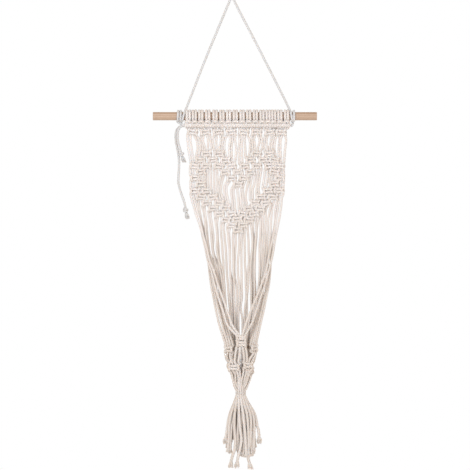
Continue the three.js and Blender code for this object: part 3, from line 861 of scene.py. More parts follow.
# Where each strand falls below its last panel knot: height, place across and depth. Most
# strands share the heights of their last five points, and FALL_LOW has the rest of those.
# Points less than FALL_CLEAR below the last knot are left out.
FALL_THICKNESS = 0.94
FALL_CLEAR = 5.0
FALL = {
    0: ((-377.3, -71.0, -0.5), (-395.6, -65.5, -1.0), (-413.9, -59.1, -1.5),
        (-432.2, -54.3, -2.0), (-454.1, -49.2, -3.5), (-477.9, -44.4, -6.0)),
    1: ((-377.3, -66.9, 0.5), (-395.6, -61.8, -1.5), (-413.9, -56.9, -3.5),
        (-432.2, -52.7, -5.5), (-454.1, -46.5, -7.5), (-477.9, -41.0, -9.5)),
    2: ((-377.3, -63.6, 0.0), (-395.6, -60.0, 1.0), (-413.9, -57.1, 2.0), (-432.2, -50.5, 1.0),
        (-454.1, -46.8, 2.0), (-477.9, -43.7, 0.0)),
    3: ((-381.0, -60.2, 0.5), (-390.1, -58.7, 1.0), (-399.3, -57.2, 2.5), (-410.2, -55.2, 3.5),
        (-432.2, -48.7, 3.5), (-454.1, -43.3, 1.0), (-477.9, -39.1, -1.5)),
    4: ((-381.0, -53.2, 0.0), (-390.1, -51.8, 1.0), (-399.3, -50.5, 1.5), (-410.2, -48.8, -1.5),
        (-432.2, -47.6, -2.0), (-454.1, -43.9, -1.0), (-477.9, -37.3, -3.0)),
    5: ((-382.8, -50.1, 0.0), (-395.6, -48.7, -1.0), (-408.4, -46.8, 1.5), (-426.7, -45.4, 1.5),
        (-450.5, -43.2, 2.5), (-466.9, -40.2, 2.5), (-481.6, -33.7, 1.0)),
    6: ((-393.8, -42.4, 0.0), (-408.4, -40.4, 1.0), (-426.7, -38.6, -0.5),
        (-450.5, -36.6, -1.0), (-466.9, -34.0, -1.0), (-481.6, -30.4, 0.0)),
    7: ((-393.8, -39.0, 0.5), (-408.4, -37.1, -1.0), (-426.7, -34.8, 1.0), (-437.7, -34.0, 1.5),
        (-456.0, -34.9, 2.0), (-470.6, -32.0, 3.0), (-481.6, -26.7, 2.5)),
    8: ((-401.1, -31.3, 0.0), (-408.4, -30.0, -0.5), (-426.7, -27.6, -2.0),
        (-437.7, -27.1, -2.0), (-456.0, -27.8, -1.5), (-481.6, -23.8, -2.0)),
    9: ((-408.4, -27.1, 0.0), (-423.0, -26.7, 2.0), (-437.7, -26.0, 2.5), (-450.5, -24.9, 2.0),
        (-470.6, -23.6, 2.5), (-481.6, -21.9, 2.0)),
    10: ((-415.7, -20.5, 0.0), (-423.0, -20.3, 0.0), (-437.7, -19.2, 0.0), (-450.5, -17.9, 0.0),
        (-470.6, -16.8, -1.0), (-481.6, -15.7, -0.5)),
    11: ((-419.4, -15.5, 0.0), (-426.7, -14.4, 0.0), (-441.3, -13.2, 0.5), (-459.6, -11.2, 0.0),
        (-481.6, -10.2, 1.0)),
    12: ((-426.7, -7.7, 0.0), (-441.3, -6.6, -1.0), (-459.6, -4.6, -2.0), (-481.6, -3.7, -2.5)),
    13: ((-424.9, -5.1, 0.5), (-441.3, -4.4, 1.5), (-459.6, -4.0, 2.5), (-481.6, -3.8, 2.5)),
    14: ((-426.7, 1.6, 0.0), (-441.3, 1.8, 0.0), (-459.6, 2.4, -0.5), (-481.6, 2.6, -1.5)),
    15: ((-434.0, 6.8, 0.0), (-446.8, 6.8, 0.0), (-463.3, 5.9, 1.5), (-481.6, 4.6, 2.5),
        (-507.2, 4.9, 2.5), (-523.6, 8.6, 1.0), (-545.6, 9.1, 1.0), (-569.4, 9.1, 2.0),
        (-596.8, 9.0, 5.0)),
    16: ((-434.0, 13.5, 0.0), (-446.8, 13.4, 0.0), (-463.3, 12.4, 0.0), (-481.6, 10.8, 0.0),
        (-507.2, 11.3, 0.0), (-523.6, 13.4, 0.0), (-545.6, 13.7, 0.0), (-569.4, 12.1, 0.5),
        (-596.8, 11.7, 2.5)),
    17: ((-441.3, 17.9, 0.5), (-459.6, 17.2, 0.5), (-481.6, 17.2, 0.0), (-499.9, 17.4, 0.5),
        (-523.6, 17.7, 1.0), (-545.6, 18.3, 1.5), (-565.7, 15.9, 2.5), (-584.0, 18.8, 3.0),
        (-596.8, 19.4, 4.0)),
    18: ((-441.3, 23.0, -0.5), (-463.3, 23.4, 0.0), (-481.6, 23.6, 0.0)),
    19: ((-423.0, 28.3, 0.0), (-441.3, 30.2, 0.0), (-463.3, 30.4, 0.0), (-481.6, 30.9, 0.5)),
    20: ((-415.7, 34.8, -0.5), (-428.5, 36.6, -0.5), (-448.7, 37.7, 0.5), (-474.3, 35.1, -1.5)),
    21: ((-415.7, 37.1, 2.0), (-432.2, 39.3, 2.5), (-454.1, 40.8, 2.0), (-477.9, 37.3, 2.0)),
    22: ((-404.8, 43.3, 0.0), (-419.4, 44.4, -0.5), (-437.7, 43.5, -1.5), (-454.1, 42.2, -1.5),
        (-472.4, 41.3, -1.0), (-488.9, 41.0, -1.0), (-509.0, 40.8, -0.5), (-523.6, 41.2, -0.5),
        (-545.6, 41.0, -0.5), (-569.4, 39.5, -0.5), (-596.8, 36.2, 1.0)),
    23: ((-401.1, 45.7, 1.5), (-419.4, 45.4, 2.0), (-437.7, 44.6, 2.5), (-454.1, 43.0, 2.5),
        (-472.4, 41.9, 3.0), (-488.9, 41.5, 3.0), (-509.0, 41.5, 4.0), (-523.6, 42.4, 4.0),
        (-545.6, 42.4, 3.5), (-569.4, 40.8, 3.5), (-596.8, 37.7, 4.0)),
    24: ((-395.6, 52.9, 0.0), (-413.9, 52.3, 0.0), (-432.2, 51.9, 0.0), (-450.5, 50.5, -0.5),
        (-472.4, 50.5, 0.0)),
    25: ((-386.5, 55.1, 0.0), (-395.6, 56.7, 0.0), (-413.9, 56.3, 0.0), (-432.2, 56.0, 0.5),
        (-454.1, 55.2, 0.0), (-477.9, 54.7, 2.0)),
    26: ((-386.5, 62.0, 0.0), (-401.1, 61.6, 0.0), (-419.4, 60.7, 0.0), (-437.7, 60.4, 0.0),
        (-454.1, 59.8, 0.0), (-477.9, 57.4, 0.0)),
    27: ((-381.0, 67.5, 0.0), (-401.1, 66.6, 0.0), (-419.4, 65.7, 0.5), (-437.7, 64.7, 0.5),
        (-454.1, 64.0, 0.0), (-477.9, 61.8, 1.0)),
    28: ((-381.0, 74.1, 0.0), (-395.6, 72.4, 0.0), (-413.9, 71.1, 0.0), (-432.2, 70.2, 0.0),
        (-454.1, 68.4, -1.0), (-477.9, 65.8, 1.0)),
    29: ((-368.2, 80.5, 0.5), (-390.1, 79.0, 0.5), (-413.9, 77.9, 1.0), (-432.2, 74.6, 2.0),
        (-454.1, 72.4, 3.0), (-477.9, 71.0, 1.5)),
    30: ((-364.5, 86.3, -0.5), (-382.8, 84.1, -0.5), (-401.1, 81.0, -1.0), (-419.4, 78.3, -2.0),
        (-437.7, 74.6, -3.5), (-459.6, 69.7, -5.5), (-477.9, 66.2, -7.5), (-499.9, 61.5, -11.0),
        (-523.6, 53.4, -16.0), (-545.6, 44.8, -21.0), (-569.4, 34.8, -27.0),
        (-591.3, 26.2, -33.0)),
    31: ((-364.5, 91.5, 0.0), (-382.8, 89.6, -0.5), (-401.1, 86.7, -1.0), (-419.4, 83.0, -1.5),
        (-437.7, 79.2, -2.5), (-459.6, 75.7, -4.0), (-477.9, 72.1, -6.0), (-499.9, 66.4, -9.5),
        (-523.6, 60.0, -14.0), (-545.6, 52.3, -18.5), (-569.4, 44.6, -24.0),
        (-591.3, 36.9, -30.0)),
}
FALL_LOW_Z = (-499.9, -523.6, -545.6, -569.4, -596.8)
FALL_LOW = {
    0: ((-36.9, -10.0), (-31.5, -14.0), (-25.1, -18.5), (-16.8, -24.0), (-7.7, -31.0)),
    1: ((-32.9, -13.0), (-25.4, -17.0), (-17.4, -21.5), (-9.0, -27.0), (0.7, -33.5)),
    2: ((-41.2, -3.0), (-38.2, -6.0), (-33.8, -9.0), (-29.3, -13.0), (-23.0, -17.0)),
    3: ((-36.6, -5.0), (-33.7, -8.0), (-29.3, -11.0), (-24.1, -15.0), (-17.4, -19.5)),
    4: ((-33.7, -5.5), (-30.0, -4.0), (-26.0, -6.0), (-20.9, -9.0), (-13.2, -14.0)),
    5: ((-28.5, -1.0), (-24.5, -2.5), (-21.6, -3.0), (-16.5, -6.0), (-9.1, -11.0)),
    6: ((-24.9, 1.5), (-20.9, 2.0), (-18.3, 1.5), (-15.4, 0.0), (-11.7, -2.0)),
    7: ((-21.2, -1.5), (-17.6, -2.5), (-15.0, -2.5), (-12.1, -3.0), (-8.0, -5.0)),
    8: ((-18.7, 2.5), (-16.1, 2.5), (-14.6, 2.5), (-11.2, 2.5), (-7.0, 3.5)),
    9: ((-16.8, -2.0), (-14.4, -1.5), (-12.6, -1.5), (-10.2, -1.0), (-5.1, -0.5)),
    10: ((-15.4, 1.5), (-13.9, 2.5), (-12.4, 5.0), (-10.2, 5.5), (-6.2, 7.0)),
    11: ((-9.5, 0.0), (-7.3, 0.0), (-5.9, 0.5), (-3.7, 1.0), (-0.4, 2.0)),
    12: ((-3.3, -2.5), (-2.0, 0.0), (-1.6, 2.0), (-0.2, 2.5), (0.7, 4.5)),
    13: ((-2.9, 2.5), (1.3, 3.0), (2.0, 4.0), (2.6, 5.0), (3.7, 7.5)),
    14: ((2.9, -1.5), (4.0, -1.0), (4.0, -0.5), (4.6, 0.0), (5.5, 1.5)),
    18: ((24.7, 0.0), (25.2, 0.0), (25.8, 0.0), (23.6, 0.5), (23.0, 5.5)),
    19: ((29.1, -0.5), (29.3, 0.5), (27.4, 2.0), (27.4, 2.5), (26.7, 3.5)),
    20: ((33.5, 0.0), (34.6, -0.5), (34.8, 0.0), (35.3, 1.0), (30.4, 1.0)),
    21: ((36.6, 3.0), (37.1, 3.5), (37.7, 4.0), (37.7, 5.0), (32.9, 6.0)),
    24: ((50.5, 0.5), (49.0, 0.5), (46.1, 0.0), (42.8, -1.0), (38.0, -3.0)),
    25: ((52.9, 3.0), (51.0, 3.0), (48.7, 2.5), (45.5, 1.0), (40.6, -1.0)),
    26: ((55.4, -1.5), (54.1, -3.5), (51.9, -5.0), (48.7, -8.0), (43.2, -12.0)),
    27: ((60.0, 0.0), (58.0, -2.0), (55.2, -5.0), (51.9, -9.0), (45.5, -15.0)),
    28: ((65.8, -2.0), (64.0, -4.5), (59.3, -8.5), (54.1, -12.5), (47.9, -17.0)),
    29: ((69.7, -1.0), (67.3, -4.0), (62.7, -7.0), (58.0, -11.0), (51.6, -15.5)),
}

# The sling's knots, from the front one down, and the free runs beside and below them: height,
# place across and depth.
SLING_KNOTS = (
    SquareKnot(16.3, -36.5, -619.5, (0, 1, 30, 31), 18.5, 10.5, 12),
    SquareKnot(16.6, -36.5, -630.0, (0, 1, 30, 31), 18.0, 10.5, 12),
    SquareKnot(-4.6, -22.5, -640.5, (2, 3, 4, 5), 17.5, 13.5, 11.5, turn=-30, face=Face.RIGHT),
    SquareKnot(38.6, -21.5, -638.0, (26, 27, 28, 29), 16.0, 13.0, 11.5, turn=40),
    SquareKnot(4.4, -27.0, -673.5, (4, 5, 0, 1), 22.0, 13.0, 12, turn=-10, face=Face.RIGHT),
    SquareKnot(28.6, -27.0, -669.5, (30, 31, 26, 27), 18.5, 12.5, 12, turn=12),
    SquareKnot(-1.4, -13.5, -671.0, (6, 7, 2, 3), 14.0, 12.5, 11, turn=-60),
    SquareKnot(33.0, -13.5, -679.0, (28, 29, 24, 25), 13.0, 12.5, 11, turn=62),
)
SLING_RUNS = {
    0: ((-644.0, 6.9, -34.0), (-654.0, 5.7, -31.5), (-662.0, 4.8, -29.0)),
    1: ((-645.0, 14.1, -34.5), (-655.0, 13.0, -32.0), (-663.0, 11.9, -29.5)),
    30: ((-645.0, 20.8, -34.5), (-655.0, 21.9, -31.5), (-660.0, 22.1, -29.5)),
    31: ((-643.0, 26.0, -34.0), (-653.0, 27.1, -31.5), (-660.0, 27.4, -29.0)),
    2: ((-652.0, -11.9, -18.0), (-661.0, -9.0, -15.0)),
    3: ((-652.0, -9.2, -19.0), (-661.0, -6.6, -16.5)),
    4: ((-653.0, -3.6, -24.0), (-662.0, -1.8, -26.0)),
    5: ((-653.0, -0.2, -23.0), (-662.0, 0.2, -26.0)),
    26: ((-648.0, 38.6, -24.5), (-654.5, 34.9, -26.5), (-660.0, 31.4, -27.0)),
    27: ((-650.0, 42.6, -22.0), (-658.0, 39.2, -24.5), (-663.5, 36.4, -25.5)),
    28: ((-652.0, 41.6, -18.0), (-664.0, 39.0, -15.5)),
    29: ((-650.0, 43.0, -15.5), (-663.0, 39.6, -12.5)),
    6: ((-640.0, -9.5, -5.5), (-660.0, -6.0, -9.5)),
    7: ((-640.0, -5.5, -6.5), (-660.0, -3.5, -9.0)),
    24: ((-630.0, 36.0, -6.0), (-650.0, 34.6, -7.5), (-665.0, 34.8, -9.0)),
    25: ((-630.0, 40.4, -6.0), (-650.0, 38.6, -7.5), (-665.0, 37.6, -8.5)),
    22: ((-630.0, 33.4, 3.0), (-650.0, 31.6, 0.0), (-670.0, 28.6, -3.0)),
    23: ((-630.0, 37.8, 4.0), (-650.0, 36.0, 1.0), (-670.0, 32.6, -2.0)),
}

# How the sling's strands gather at the neck: height, place across and depth. The others come
# straight to it, and NECK_APPROACH has shares of their way with the thickness at each.
GATHER_THICKNESS = 0.88
NECK_APPROACH = ((0.45, 0.88), (0.78, 0.78))
GATHER = {
    4: ((-684.0, -1.4, -24.5), (-698.0, 2.6, -19.0), (-709.0, 6.2, -14.5)),
    5: ((-686.0, 5.8, -25.0), (-701.0, 6.8, -19.5)),
    0: ((-688.0, 10.8, -25.0), (-703.0, 11.6, -19.0)),
    1: ((-685.0, 14.6, -25.0), (-703.0, 14.4, -18.5)),
    30: ((-681.0, 21.0, -26.0), (-699.0, 17.6, -20.0)),
    31: ((-681.0, 25.8, -25.0), (-697.0, 22.4, -19.0)),
    26: ((-684.0, 28.2, -22.5), (-699.0, 24.6, -17.0)),
    27: ((-682.0, 31.8, -23.5), (-697.0, 28.0, -18.0), (-708.0, 23.6, -14.0)),
    28: ((-691.0, 33.8, -15.5), (-702.0, 30.4, -13.5), (-710.0, 26.6, -11.0)),
    2: ((-686.0, -1.0, -15.0), (-698.0, 2.0, -13.0), (-709.0, 4.6, -11.5)),
}

# The neck: its middle, how the strands come together just above it, and its rings of
# strands, each with its radius and its strands in order round it.
NECK = (15.9, -8.0, -720.6)
NECK_THICKNESS = 0.6
NECK_FLARE = 1.08
NECK_RISE = 4.0
NECK_FLARE_THICKNESS = 0.68
NECK_RINGS = (
    (7.6, (6, 2, 4, 0, 1, 30, 31, 28, 25, 23, 21, 18, 16, 13, 10, 8)),
    (4.9, (7, 3, 5, 26, 27, 29, 24, 22, 19, 11, 9)),
    (2.0, (12, 15, 20, 17, 14)),
)

# The thickness of a loosened strand at its cut end, and of one with a long tuft.
TASSEL_THICKNESS = 1.2
LONG_THICKNESS = 1.25

# How the tassel opens: height, middle across, growth of the neck's rings across and in
# depth, how far a strand has come to its own end, and its thickness.
TASSEL_SPREAD = (
    (-727.0, 15.9, 1.14, 1.1, 0.0, 0.82),
    (-733.5, 16.3, 1.36, 1.25, 0.02, 1.0),
    (-740.0, 16.8, 1.6, 1.35, 0.08, 1.14),
    (-749.0, 17.7, 2.05, 1.45, 0.18, 1.2),
    (-758.0, 18.5, 2.5, 1.55, 0.33, 1.22),
    (-770.0, 19.0, 2.85, 1.7, 0.52, 1.22),
    (-783.0, 19.0, 3.15, 1.8, 0.75, 1.2),
)

# Cut ends of the tassel, by strand: the points that it passes on its way to the tip of its
# fray, as place across, height and depth.
TASSEL_ENDS = {
    6: ((-9.8, -793.0, -10.0), (-11.4, -813.5, -10.0)),
    2: ((-6.0, -806.0, -13.0), (-7.3, -829.0, -13.0)),
    4: ((5.0, -794.0, -16.0), (6.2, -810.0, -17.0), (4.6, -824.0, -17.5), (0.6, -836.0, -17.5),
        (-1.8, -857.0, -17.0)),
    0: ((16.2, -795.0, -18.0), (17.2, -806.0, -18.5), (15.0, -821.0, -18.5),
        (11.4, -836.0, -18.0), (9.4, -857.5, -17.5)),
    1: ((24.0, -795.0, -18.5), (25.8, -838.0, -18.0)),
    30: ((29.8, -790.0, -17.5), (30.6, -837.0, -17.0)),
    31: ((34.5, -785.0, -16.0), (33.0, -812.0, -16.5), (29.0, -832.0, -17.0),
         (29.8, -841.0, -17.5), (32.2, -859.8, -17.5)),
    28: ((40.4, -793.0, -13.0), (39.6, -828.0, -13.0)),
    25: ((47.6, -785.0, -10.0), (49.4, -798.0, -10.0), (49.8, -813.5, -10.0)),
    23: ((40.2, -795.0, -3.0), (41.6, -821.0, -2.0)),
    21: ((36.0, -795.0, 0.0), (37.0, -830.0, 0.0)),
    18: ((31.5, -834.0, 2.0),),
    16: ((24.0, -835.5, 3.0),),
    13: ((16.5, -834.6, 3.0),),
    10: ((9.5, -800.0, 1.0), (9.8, -822.0, 1.0)),
    8: ((-1.8, -794.0, -2.0), (-3.0, -812.0, -2.0)),
    7: ((-8.6, -821.0, -8.0),),
    3: ((-2.4, -806.0, -11.0), (-3.2, -831.0, -11.0)),
    5: ((10.6, -800.0, -14.0), (11.0, -826.0, -13.5)),
    26: ((15.5, -834.5, -13.5),),
    27: ((21.0, -837.5, -14.5),),
    29: ((35.6, -836.5, -13.5),),
    24: ((38.0, -833.0, -9.5),),
    22: ((35.5, -835.0, -3.5),),
    19: ((27.5, -836.0, -1.0),),
    11: ((12.8, -832.8, -2.5),),
    9: ((1.6, -792.0, -6.0), (2.4, -806.5, -6.0)),
    12: ((12.5, -829.0, -7.5),),
    15: ((18.0, -836.0, -8.0),),
    20: ((31.0, -836.5, -8.0),),
    17: ((23.5, -836.0, -6.5),),
    14: ((-6.4, -827.0, -4.0),),
}

# The heads whose cords hang at the back, the strands with long and with brushed tufts, and
# how far above its tip a strand's cord ends and its tuft starts.
BACK_HEADS = range(4, 12)
LONG_ENDS = (0, 4, 31)
BRUSHED_ENDS = (6, 25)
FRAY = 5.5
LONG_FRAY = 10.5


def knot_names(column: int) -> tuple[int, ...]:
    """The four strands that meet in a knot of that half column."""
    first = 2 * column + STRANDS // 2 - 2
    return tuple(range(first, first + 4))


def column_place(column: float, z: float) -> float:
    """The place across the panel of a half column at a height."""
    side = 1 if column < 0 else 2
    sign = math.copysign(1, column)
    reach = abs(column)
    pitch = between(COLUMN_PITCH, z, side)
    if reach <= OUTER_COLUMN:
        return PANEL_CENTRE + sign * reach * pitch
    inner = PANEL_CENTRE + sign * OUTER_COLUMN * pitch
    edge = between(PANEL_EDGE, z, side)
    return inner + (edge - inner) * (reach - OUTER_COLUMN) / (EDGE_COLUMN - OUTER_COLUMN)


def strand_column(strand: int) -> float:
    """The half column that a strand hangs in."""
    return (strand - (STRANDS - 1) / 2) / 2


def round_dowel(x: float, degrees: float, radius: float, thickness: float) -> Point:
    """A point on a turn round the dowel, with degrees from its top towards the front."""
    angle = math.radians(degrees)
    return x, -radius * math.sin(angle), DOWEL_Z + radius * math.cos(angle), thickness


class Strands:
    """The thirty-two strands: sixteen cords, each doubled over the dowel by its head."""

    def __init__(self, seed: int = 7) -> None:
        """Sets out the knots and draws the sixteen lines.

        Args:
            seed: what the small unevenness of hand work starts from.
        """
        self.chance = random.Random(seed)
        self.knots = self._panel_knots()
        self.bar_step = (HEADS[-1] - HEADS[0]) / (len(HEADS) - 1) / 2
        self.tones = [self.chance.random() for _ in HEADS]
        self.ends: dict[int, list[Point]] = {}
        self.lines = [self._line(head) for head in range(len(HEADS))]

    def _panel_knots(self) -> list[SquareKnot]:
        """The square knots of the panel, each a little off its place as hands tie them."""
        off = self.chance.uniform
        knots = []
        for z, columns in KNOT_ROWS:
            width = TOP_ROW_WIDTH if z > LOOSE_ROW_Z else PANEL_KNOT_WIDTH
            for column in columns:
                knot = SquareKnot(
                    column_place(column, z) + off(-0.35, 0.35),
                    off(-0.7, 0.7),
                    z + off(-0.5, 0.5),
                    knot_names(column),
                    width=width * off(0.97, 1.03),
                    height=PANEL_KNOT_HEIGHT * off(0.98, 1.05),
                    turn=off(-10, 10),
                    roll=off(-8, 8),
                )
                knots.append(knot)
        return knots

    def _line(self, head: int) -> CordLine:
        """The whole cord of one head, from its left cut end to its right one."""
        left = self._strand(2 * head)
        right = self._strand(2 * head + 1)
        self.ends[2 * head] = left[-2:]
        self.ends[2 * head + 1] = right[-2:]
        return CordLine(left[::-1] + self._head(head) + right, CORD.step)

    def _bar_place(self, strand: int) -> float:
        """The place of a strand's two hitches along the bar."""
        return HEADS[0] + self.bar_step * (strand - 0.5)

    def _head(self, head: int) -> list[Point]:
        """The turn of a lark's head over the dowel, with its bar low in front."""
        back = [(-x, degrees, radius) for x, degrees, radius in HEAD_HALF[-2::-1]]
        return [
            round_dowel(HEADS[head] + x, degrees, radius, HEAD_THICKNESS)
            for x, degrees, radius in [*HEAD_HALF, *back]
        ]

    def _hitches(self, strand: int) -> list[Point]:
        """The two turns of a double half hitch round the bar's core."""
        x = self._bar_place(strand)
        return [
            (x + dx, y + BAR_Y, BAR_Z + dz, HITCH_EASY.get(i, HITCH_THICKNESS))
            for i, (dx, y, dz) in enumerate(HITCH_TURNS)
        ]

    def _strand(self, strand: int) -> list[Point]:
        """One strand from the bar to its cut end."""
        points = self._hitches(strand)
        points.append((self._bar_place(strand), 0.0, BAR_Z - BAR_EXIT, BAR_EXIT_THICKNESS))
        for knot in self.knots:
            if strand in knot.cords:
                self._hang(strand, points, knot.z + knot.height / 2)
                points.extend(knot.route(strand))
        self._leave_panel(strand, points)
        self._pass_sling(strand, points)
        self._pass_neck(strand, points)
        return points

    def _hang(self, strand: int, points: list[Point], bottom: float) -> None:
        """Adds the free run above a knot, with the slack that hand work leaves in it."""
        top = points[-1][2]
        if top - bottom < SHORT_RUN:
            return
        if top > LOOSE_ROW_Z > bottom:
            depth = LOOSE_ROW_DEPTH[strand]
            points.append((LOOSE_ROW[strand], depth, LOOSE_ROW_Z, 1.0))
            points.append((LOOSE_ROW_LOW[strand], depth, LOOSE_ROW_LOW_Z, 1.0))
            return
        high, low = top - GUIDE_CLEAR, bottom + GUIDE_CLEAR
        guides = [guide for guide in GUIDES.get(strand, ()) if high > guide[0] > low]
        if guides:
            for z, x in guides:
                points.append((x, self.chance.uniform(-0.7, 0.7), z, 1.0))
            return
        middle = (top + bottom) / 2
        x = column_place(strand_column(strand), middle) + self.chance.uniform(-0.6, 0.6)
        points.append((x, self.chance.uniform(-0.8, 0.8), middle, 1.0))

    def _leave_panel(self, strand: int, points: list[Point]) -> None:
        """Lets the strand fall from its last knot and round the pot."""
        start = points[-1][2]
        low = [(z, *at) for z, at in zip(FALL_LOW_Z, FALL_LOW.get(strand, ()))]
        for z, x, y in [*FALL[strand], *low]:
            if z < start - FALL_CLEAR:
                points.append((x, y, z, FALL_THICKNESS))

    def _pass_sling(self, strand: int, points: list[Point]) -> None:
        """Carries the strand through the knots of the sling, or behind them."""
        knots = [knot for knot in SLING_KNOTS if strand in knot.cords]
        for knot in knots[:-1]:
            points.extend(knot.route(strand))
        points.extend((x, y, z, 1.0) for z, x, y in SLING_RUNS.get(strand, ()))
        for knot in knots[-1:]:
            points.extend(knot.route(strand))
        points.extend((x, y, z, GATHER_THICKNESS) for z, x, y in GATHER.get(strand, ()))

    def _pass_neck(self, strand: int, points: list[Point]) -> None:
        """Draws the strand into the neck and lets it fall to its cut end."""
        for radius, names in NECK_RINGS:
            if strand in names:
                angle = math.pi + 2 * math.pi * names.index(strand) / len(names)
                out = (radius * math.cos(angle), radius * math.sin(angle))
        x, y, z = NECK
        rim = (x + out[0], y + out[1], z)
        if strand not in GATHER:
            last = points[-1]
            for share, thickness in NECK_APPROACH:
                points.append((*(a + (b - a) * share for a, b in zip(last, rim)), thickness))
        wide_x, wide_y = (NECK_FLARE * reach for reach in out)
        points.append((x + wide_x, y + wide_y, z + NECK_RISE, NECK_FLARE_THICKNESS))
        points.append((*rim, NECK_THICKNESS))
        route = TASSEL_ENDS[strand]
        for height, middle, wide, deep, share, thickness in TASSEL_SPREAD:
            points.append(
                (
                    (middle + wide * out[0]) * (1 - share) + route[0][0] * share,
                    (y + deep * out[1]) * (1 - share) + route[0][2] * share,
                    height,
                    thickness,
                )
            )
        thick = LONG_THICKNESS if strand in LONG_ENDS else TASSEL_THICKNESS
        points.extend((a, c, b, thick) for a, b, c in route[:-1])
        tip_x, tip_z, tip_y = route[-1]
        fray = FRAY if strand not in LONG_ENDS + BRUSHED_ENDS else LONG_FRAY
        points.append((tip_x, tip_y, tip_z + fray, thick))

    def zone(self, z: float) -> Zone:
        """The stretch that a height belongs to."""
        if z > PANEL_TOP:
            return Zone.HEADING
        if z > PANEL_END:
            return Zone.PANEL
        return Zone.POCKET if z > NECK_TOP else Zone.TASSEL

    def fill(self, meshes: dict[str, CordMesh]) -> None:
        """Cuts every line where its zone changes and adds each stretch to its piece.

        Args:
            meshes: the pieces' meshes by piece name, to be filled.
        """
        for head, line in enumerate(self.lines):
            zones = [self.zone(z) for z in line.places[:, 2]]
            start = 0
            for i in range(1, len(zones) + 1):
                if i == len(zones) or zones[i] is not zones[start]:
                    name = self._piece(zones[start], head)
                    last = min(i + 1, len(zones))
                    meshes[name].add(line, CORD, self.tones[head], start, last)
                    start = i

    @staticmethod
    def _piece(zone: Zone, head: int) -> str:
        """The piece that a zone of a head's cord belongs to."""
        side = "left" if head < len(HEADS) // 2 else "right"
        if zone is Zone.PANEL:
            return f"panel_{side}_cords"
        if zone is not Zone.POCKET:
            return f"{zone.value}_cords"
        return "back_cords" if head in BACK_HEADS else f"sling_{side}_cords"


# The hanging cord: its legs and its turns round the dowel, with degrees counted from the
# dowel's top towards the front.
APEX = (
    (-49.4, 0.0, -112.9), (-5.4, 0.0, -7.0), (-2.4, 0.0, -0.2), (0.0, 0.0, 2.1), (2.6, 0.0, -0.2),
    (5.6, 0.0, -7.0), (52.0, 0.0, -97.0),
)
LEFT_TURNS = (
    (10, -85.6), (50, -87.0), (90, -88.8), (135, -90.4), (180, -91.4), (225, -92.0),
    (270, -92.5), (315, -93.0), (360, -93.4), (405, -93.7), (450, -94.0), (500, -94.5),
    (540, -95.1), (585, -96.0), (630, -97.0), (675, -97.8), (720, -98.2), (765, -98.5),
    (810, -98.8), (860, -99.2), (905, -99.6),
)
RIGHT_TURNS = (
    (10, 106.6), (50, 107.6), (90, 108.8), (135, 109.6), (180, 110.2), (225, 110.8),
    (270, 111.4), (315, 112.4), (360, 113.0), (405, 113.4), (450, 113.6), (500, 113.2),
    (545, 112.2),
)
LEFT_TAIL = ((-99.0, -0.6, -225.6), (-94.6, -0.4, -228.4), (-91.0, -0.3, -230.2))
RIGHT_TAIL = ((111.0, 0.4, -228.0), (110.2, 0.2, -231.2), (107.6, 0.0, -233.4))
SHORT_END = (
    (-86.0, -2.3, -232.6), (-91.8, -2.3, -233.1), (-95.5, -2.7, -235.8), (-98.2, -3.0, -241.0),
    (-99.4, -3.0, -250.0), (-98.6, -3.0, -262.0), (-95.4, -3.0, -274.0),
)
LONG_END = (
    (-86.0, 2.3, -232.6), (-91.8, 2.3, -233.1), (-96.5, 2.6, -234.8), (-101.0, 2.4, -240.5),
    (-103.2, 2.2, -250.0), (-102.4, 2.0, -262.0), (-98.6, 2.0, -282.0), (-96.8, 2.0, -299.0),
    (-97.8, 1.0, -325.0), (-98.0, 0.0, -337.0), (-94.2, 0.0, -352.0), (-88.4, 0.0, -369.0),
    (-86.4, 0.0, -376.0),
)
TIGHT = 0.97
TURN_RADIUS = DOWEL_RADIUS + 2.15
HANGING_TONE = 0.3
TAIL_TONE = 0.5

# The free ends' knots: their size beside the drawn one, and that one's coil, which starts
# below the knot's middle and rises. Angles are in degrees.
END_KNOT_SIZE = 0.85
COIL_RADIUS = 3.6
COIL_POINTS = 11
COIL_START = 70
COIL_TURN = 48
COIL_BOTTOM = -3.3
COIL_RISE = 6.0


def end_knot(x: float, y: float, z: float, lean: float) -> list[Point]:
    """An overhand knot near a cut end, drawn tight.

    Args:
        x: place across of the knot's centre.
        y: its depth.
        z: its height.
        lean: how far its lower end moves across.

    Returns:
        The points from above the knot to just below it.
    """
    size = END_KNOT_SIZE
    reach = COIL_RADIUS * size
    points = [
        (x - lean / 2, y, z + 6.5 * size, 0.95),
        (x, y + 0.6, z + 2.0 * size, 0.8),
        (x + 0.3, y + 1.0, z - 2.4 * size, 0.8),
    ]
    for i in range(COIL_POINTS):
        angle = math.radians(COIL_START + COIL_TURN * i)
        rise = COIL_BOTTOM + COIL_RISE * i / (COIL_POINTS - 1)
        across, depth = reach * math.cos(angle), reach * math.sin(angle)
        points.append((x + across, y - depth, z + rise * size, 1.0))
    points.append((x - 1.2, y - 0.8, z + 0.5, 0.7))
    points.append((x + lean / 2, y, z - 5.6 * size, 0.9))
    points.append((x + lean, y, z - 8.0 * size, 1.0))
    return points


@dataclass(frozen=True)
class Tuft:
    """The make of a tuft of loose yarn.

    It hangs length millimetres below the cut and opens to flare times the cord's width. Its
    tips stand at close times that width.
    """

    length: float
    flare: float
    locks: int
    close: float = 1.0


PLAIN_TUFT = Tuft(FRAY + 1, 1.35, 15)
LONG_TUFT = Tuft(LONG_FRAY + 1, 1.9, 24)
BRUSHED_TUFT = Tuft(LONG_FRAY + 1, 2.0, 26, 0.7)
TAIL_TUFT = Tuft(10.5, 2.0, 26, 0.8)

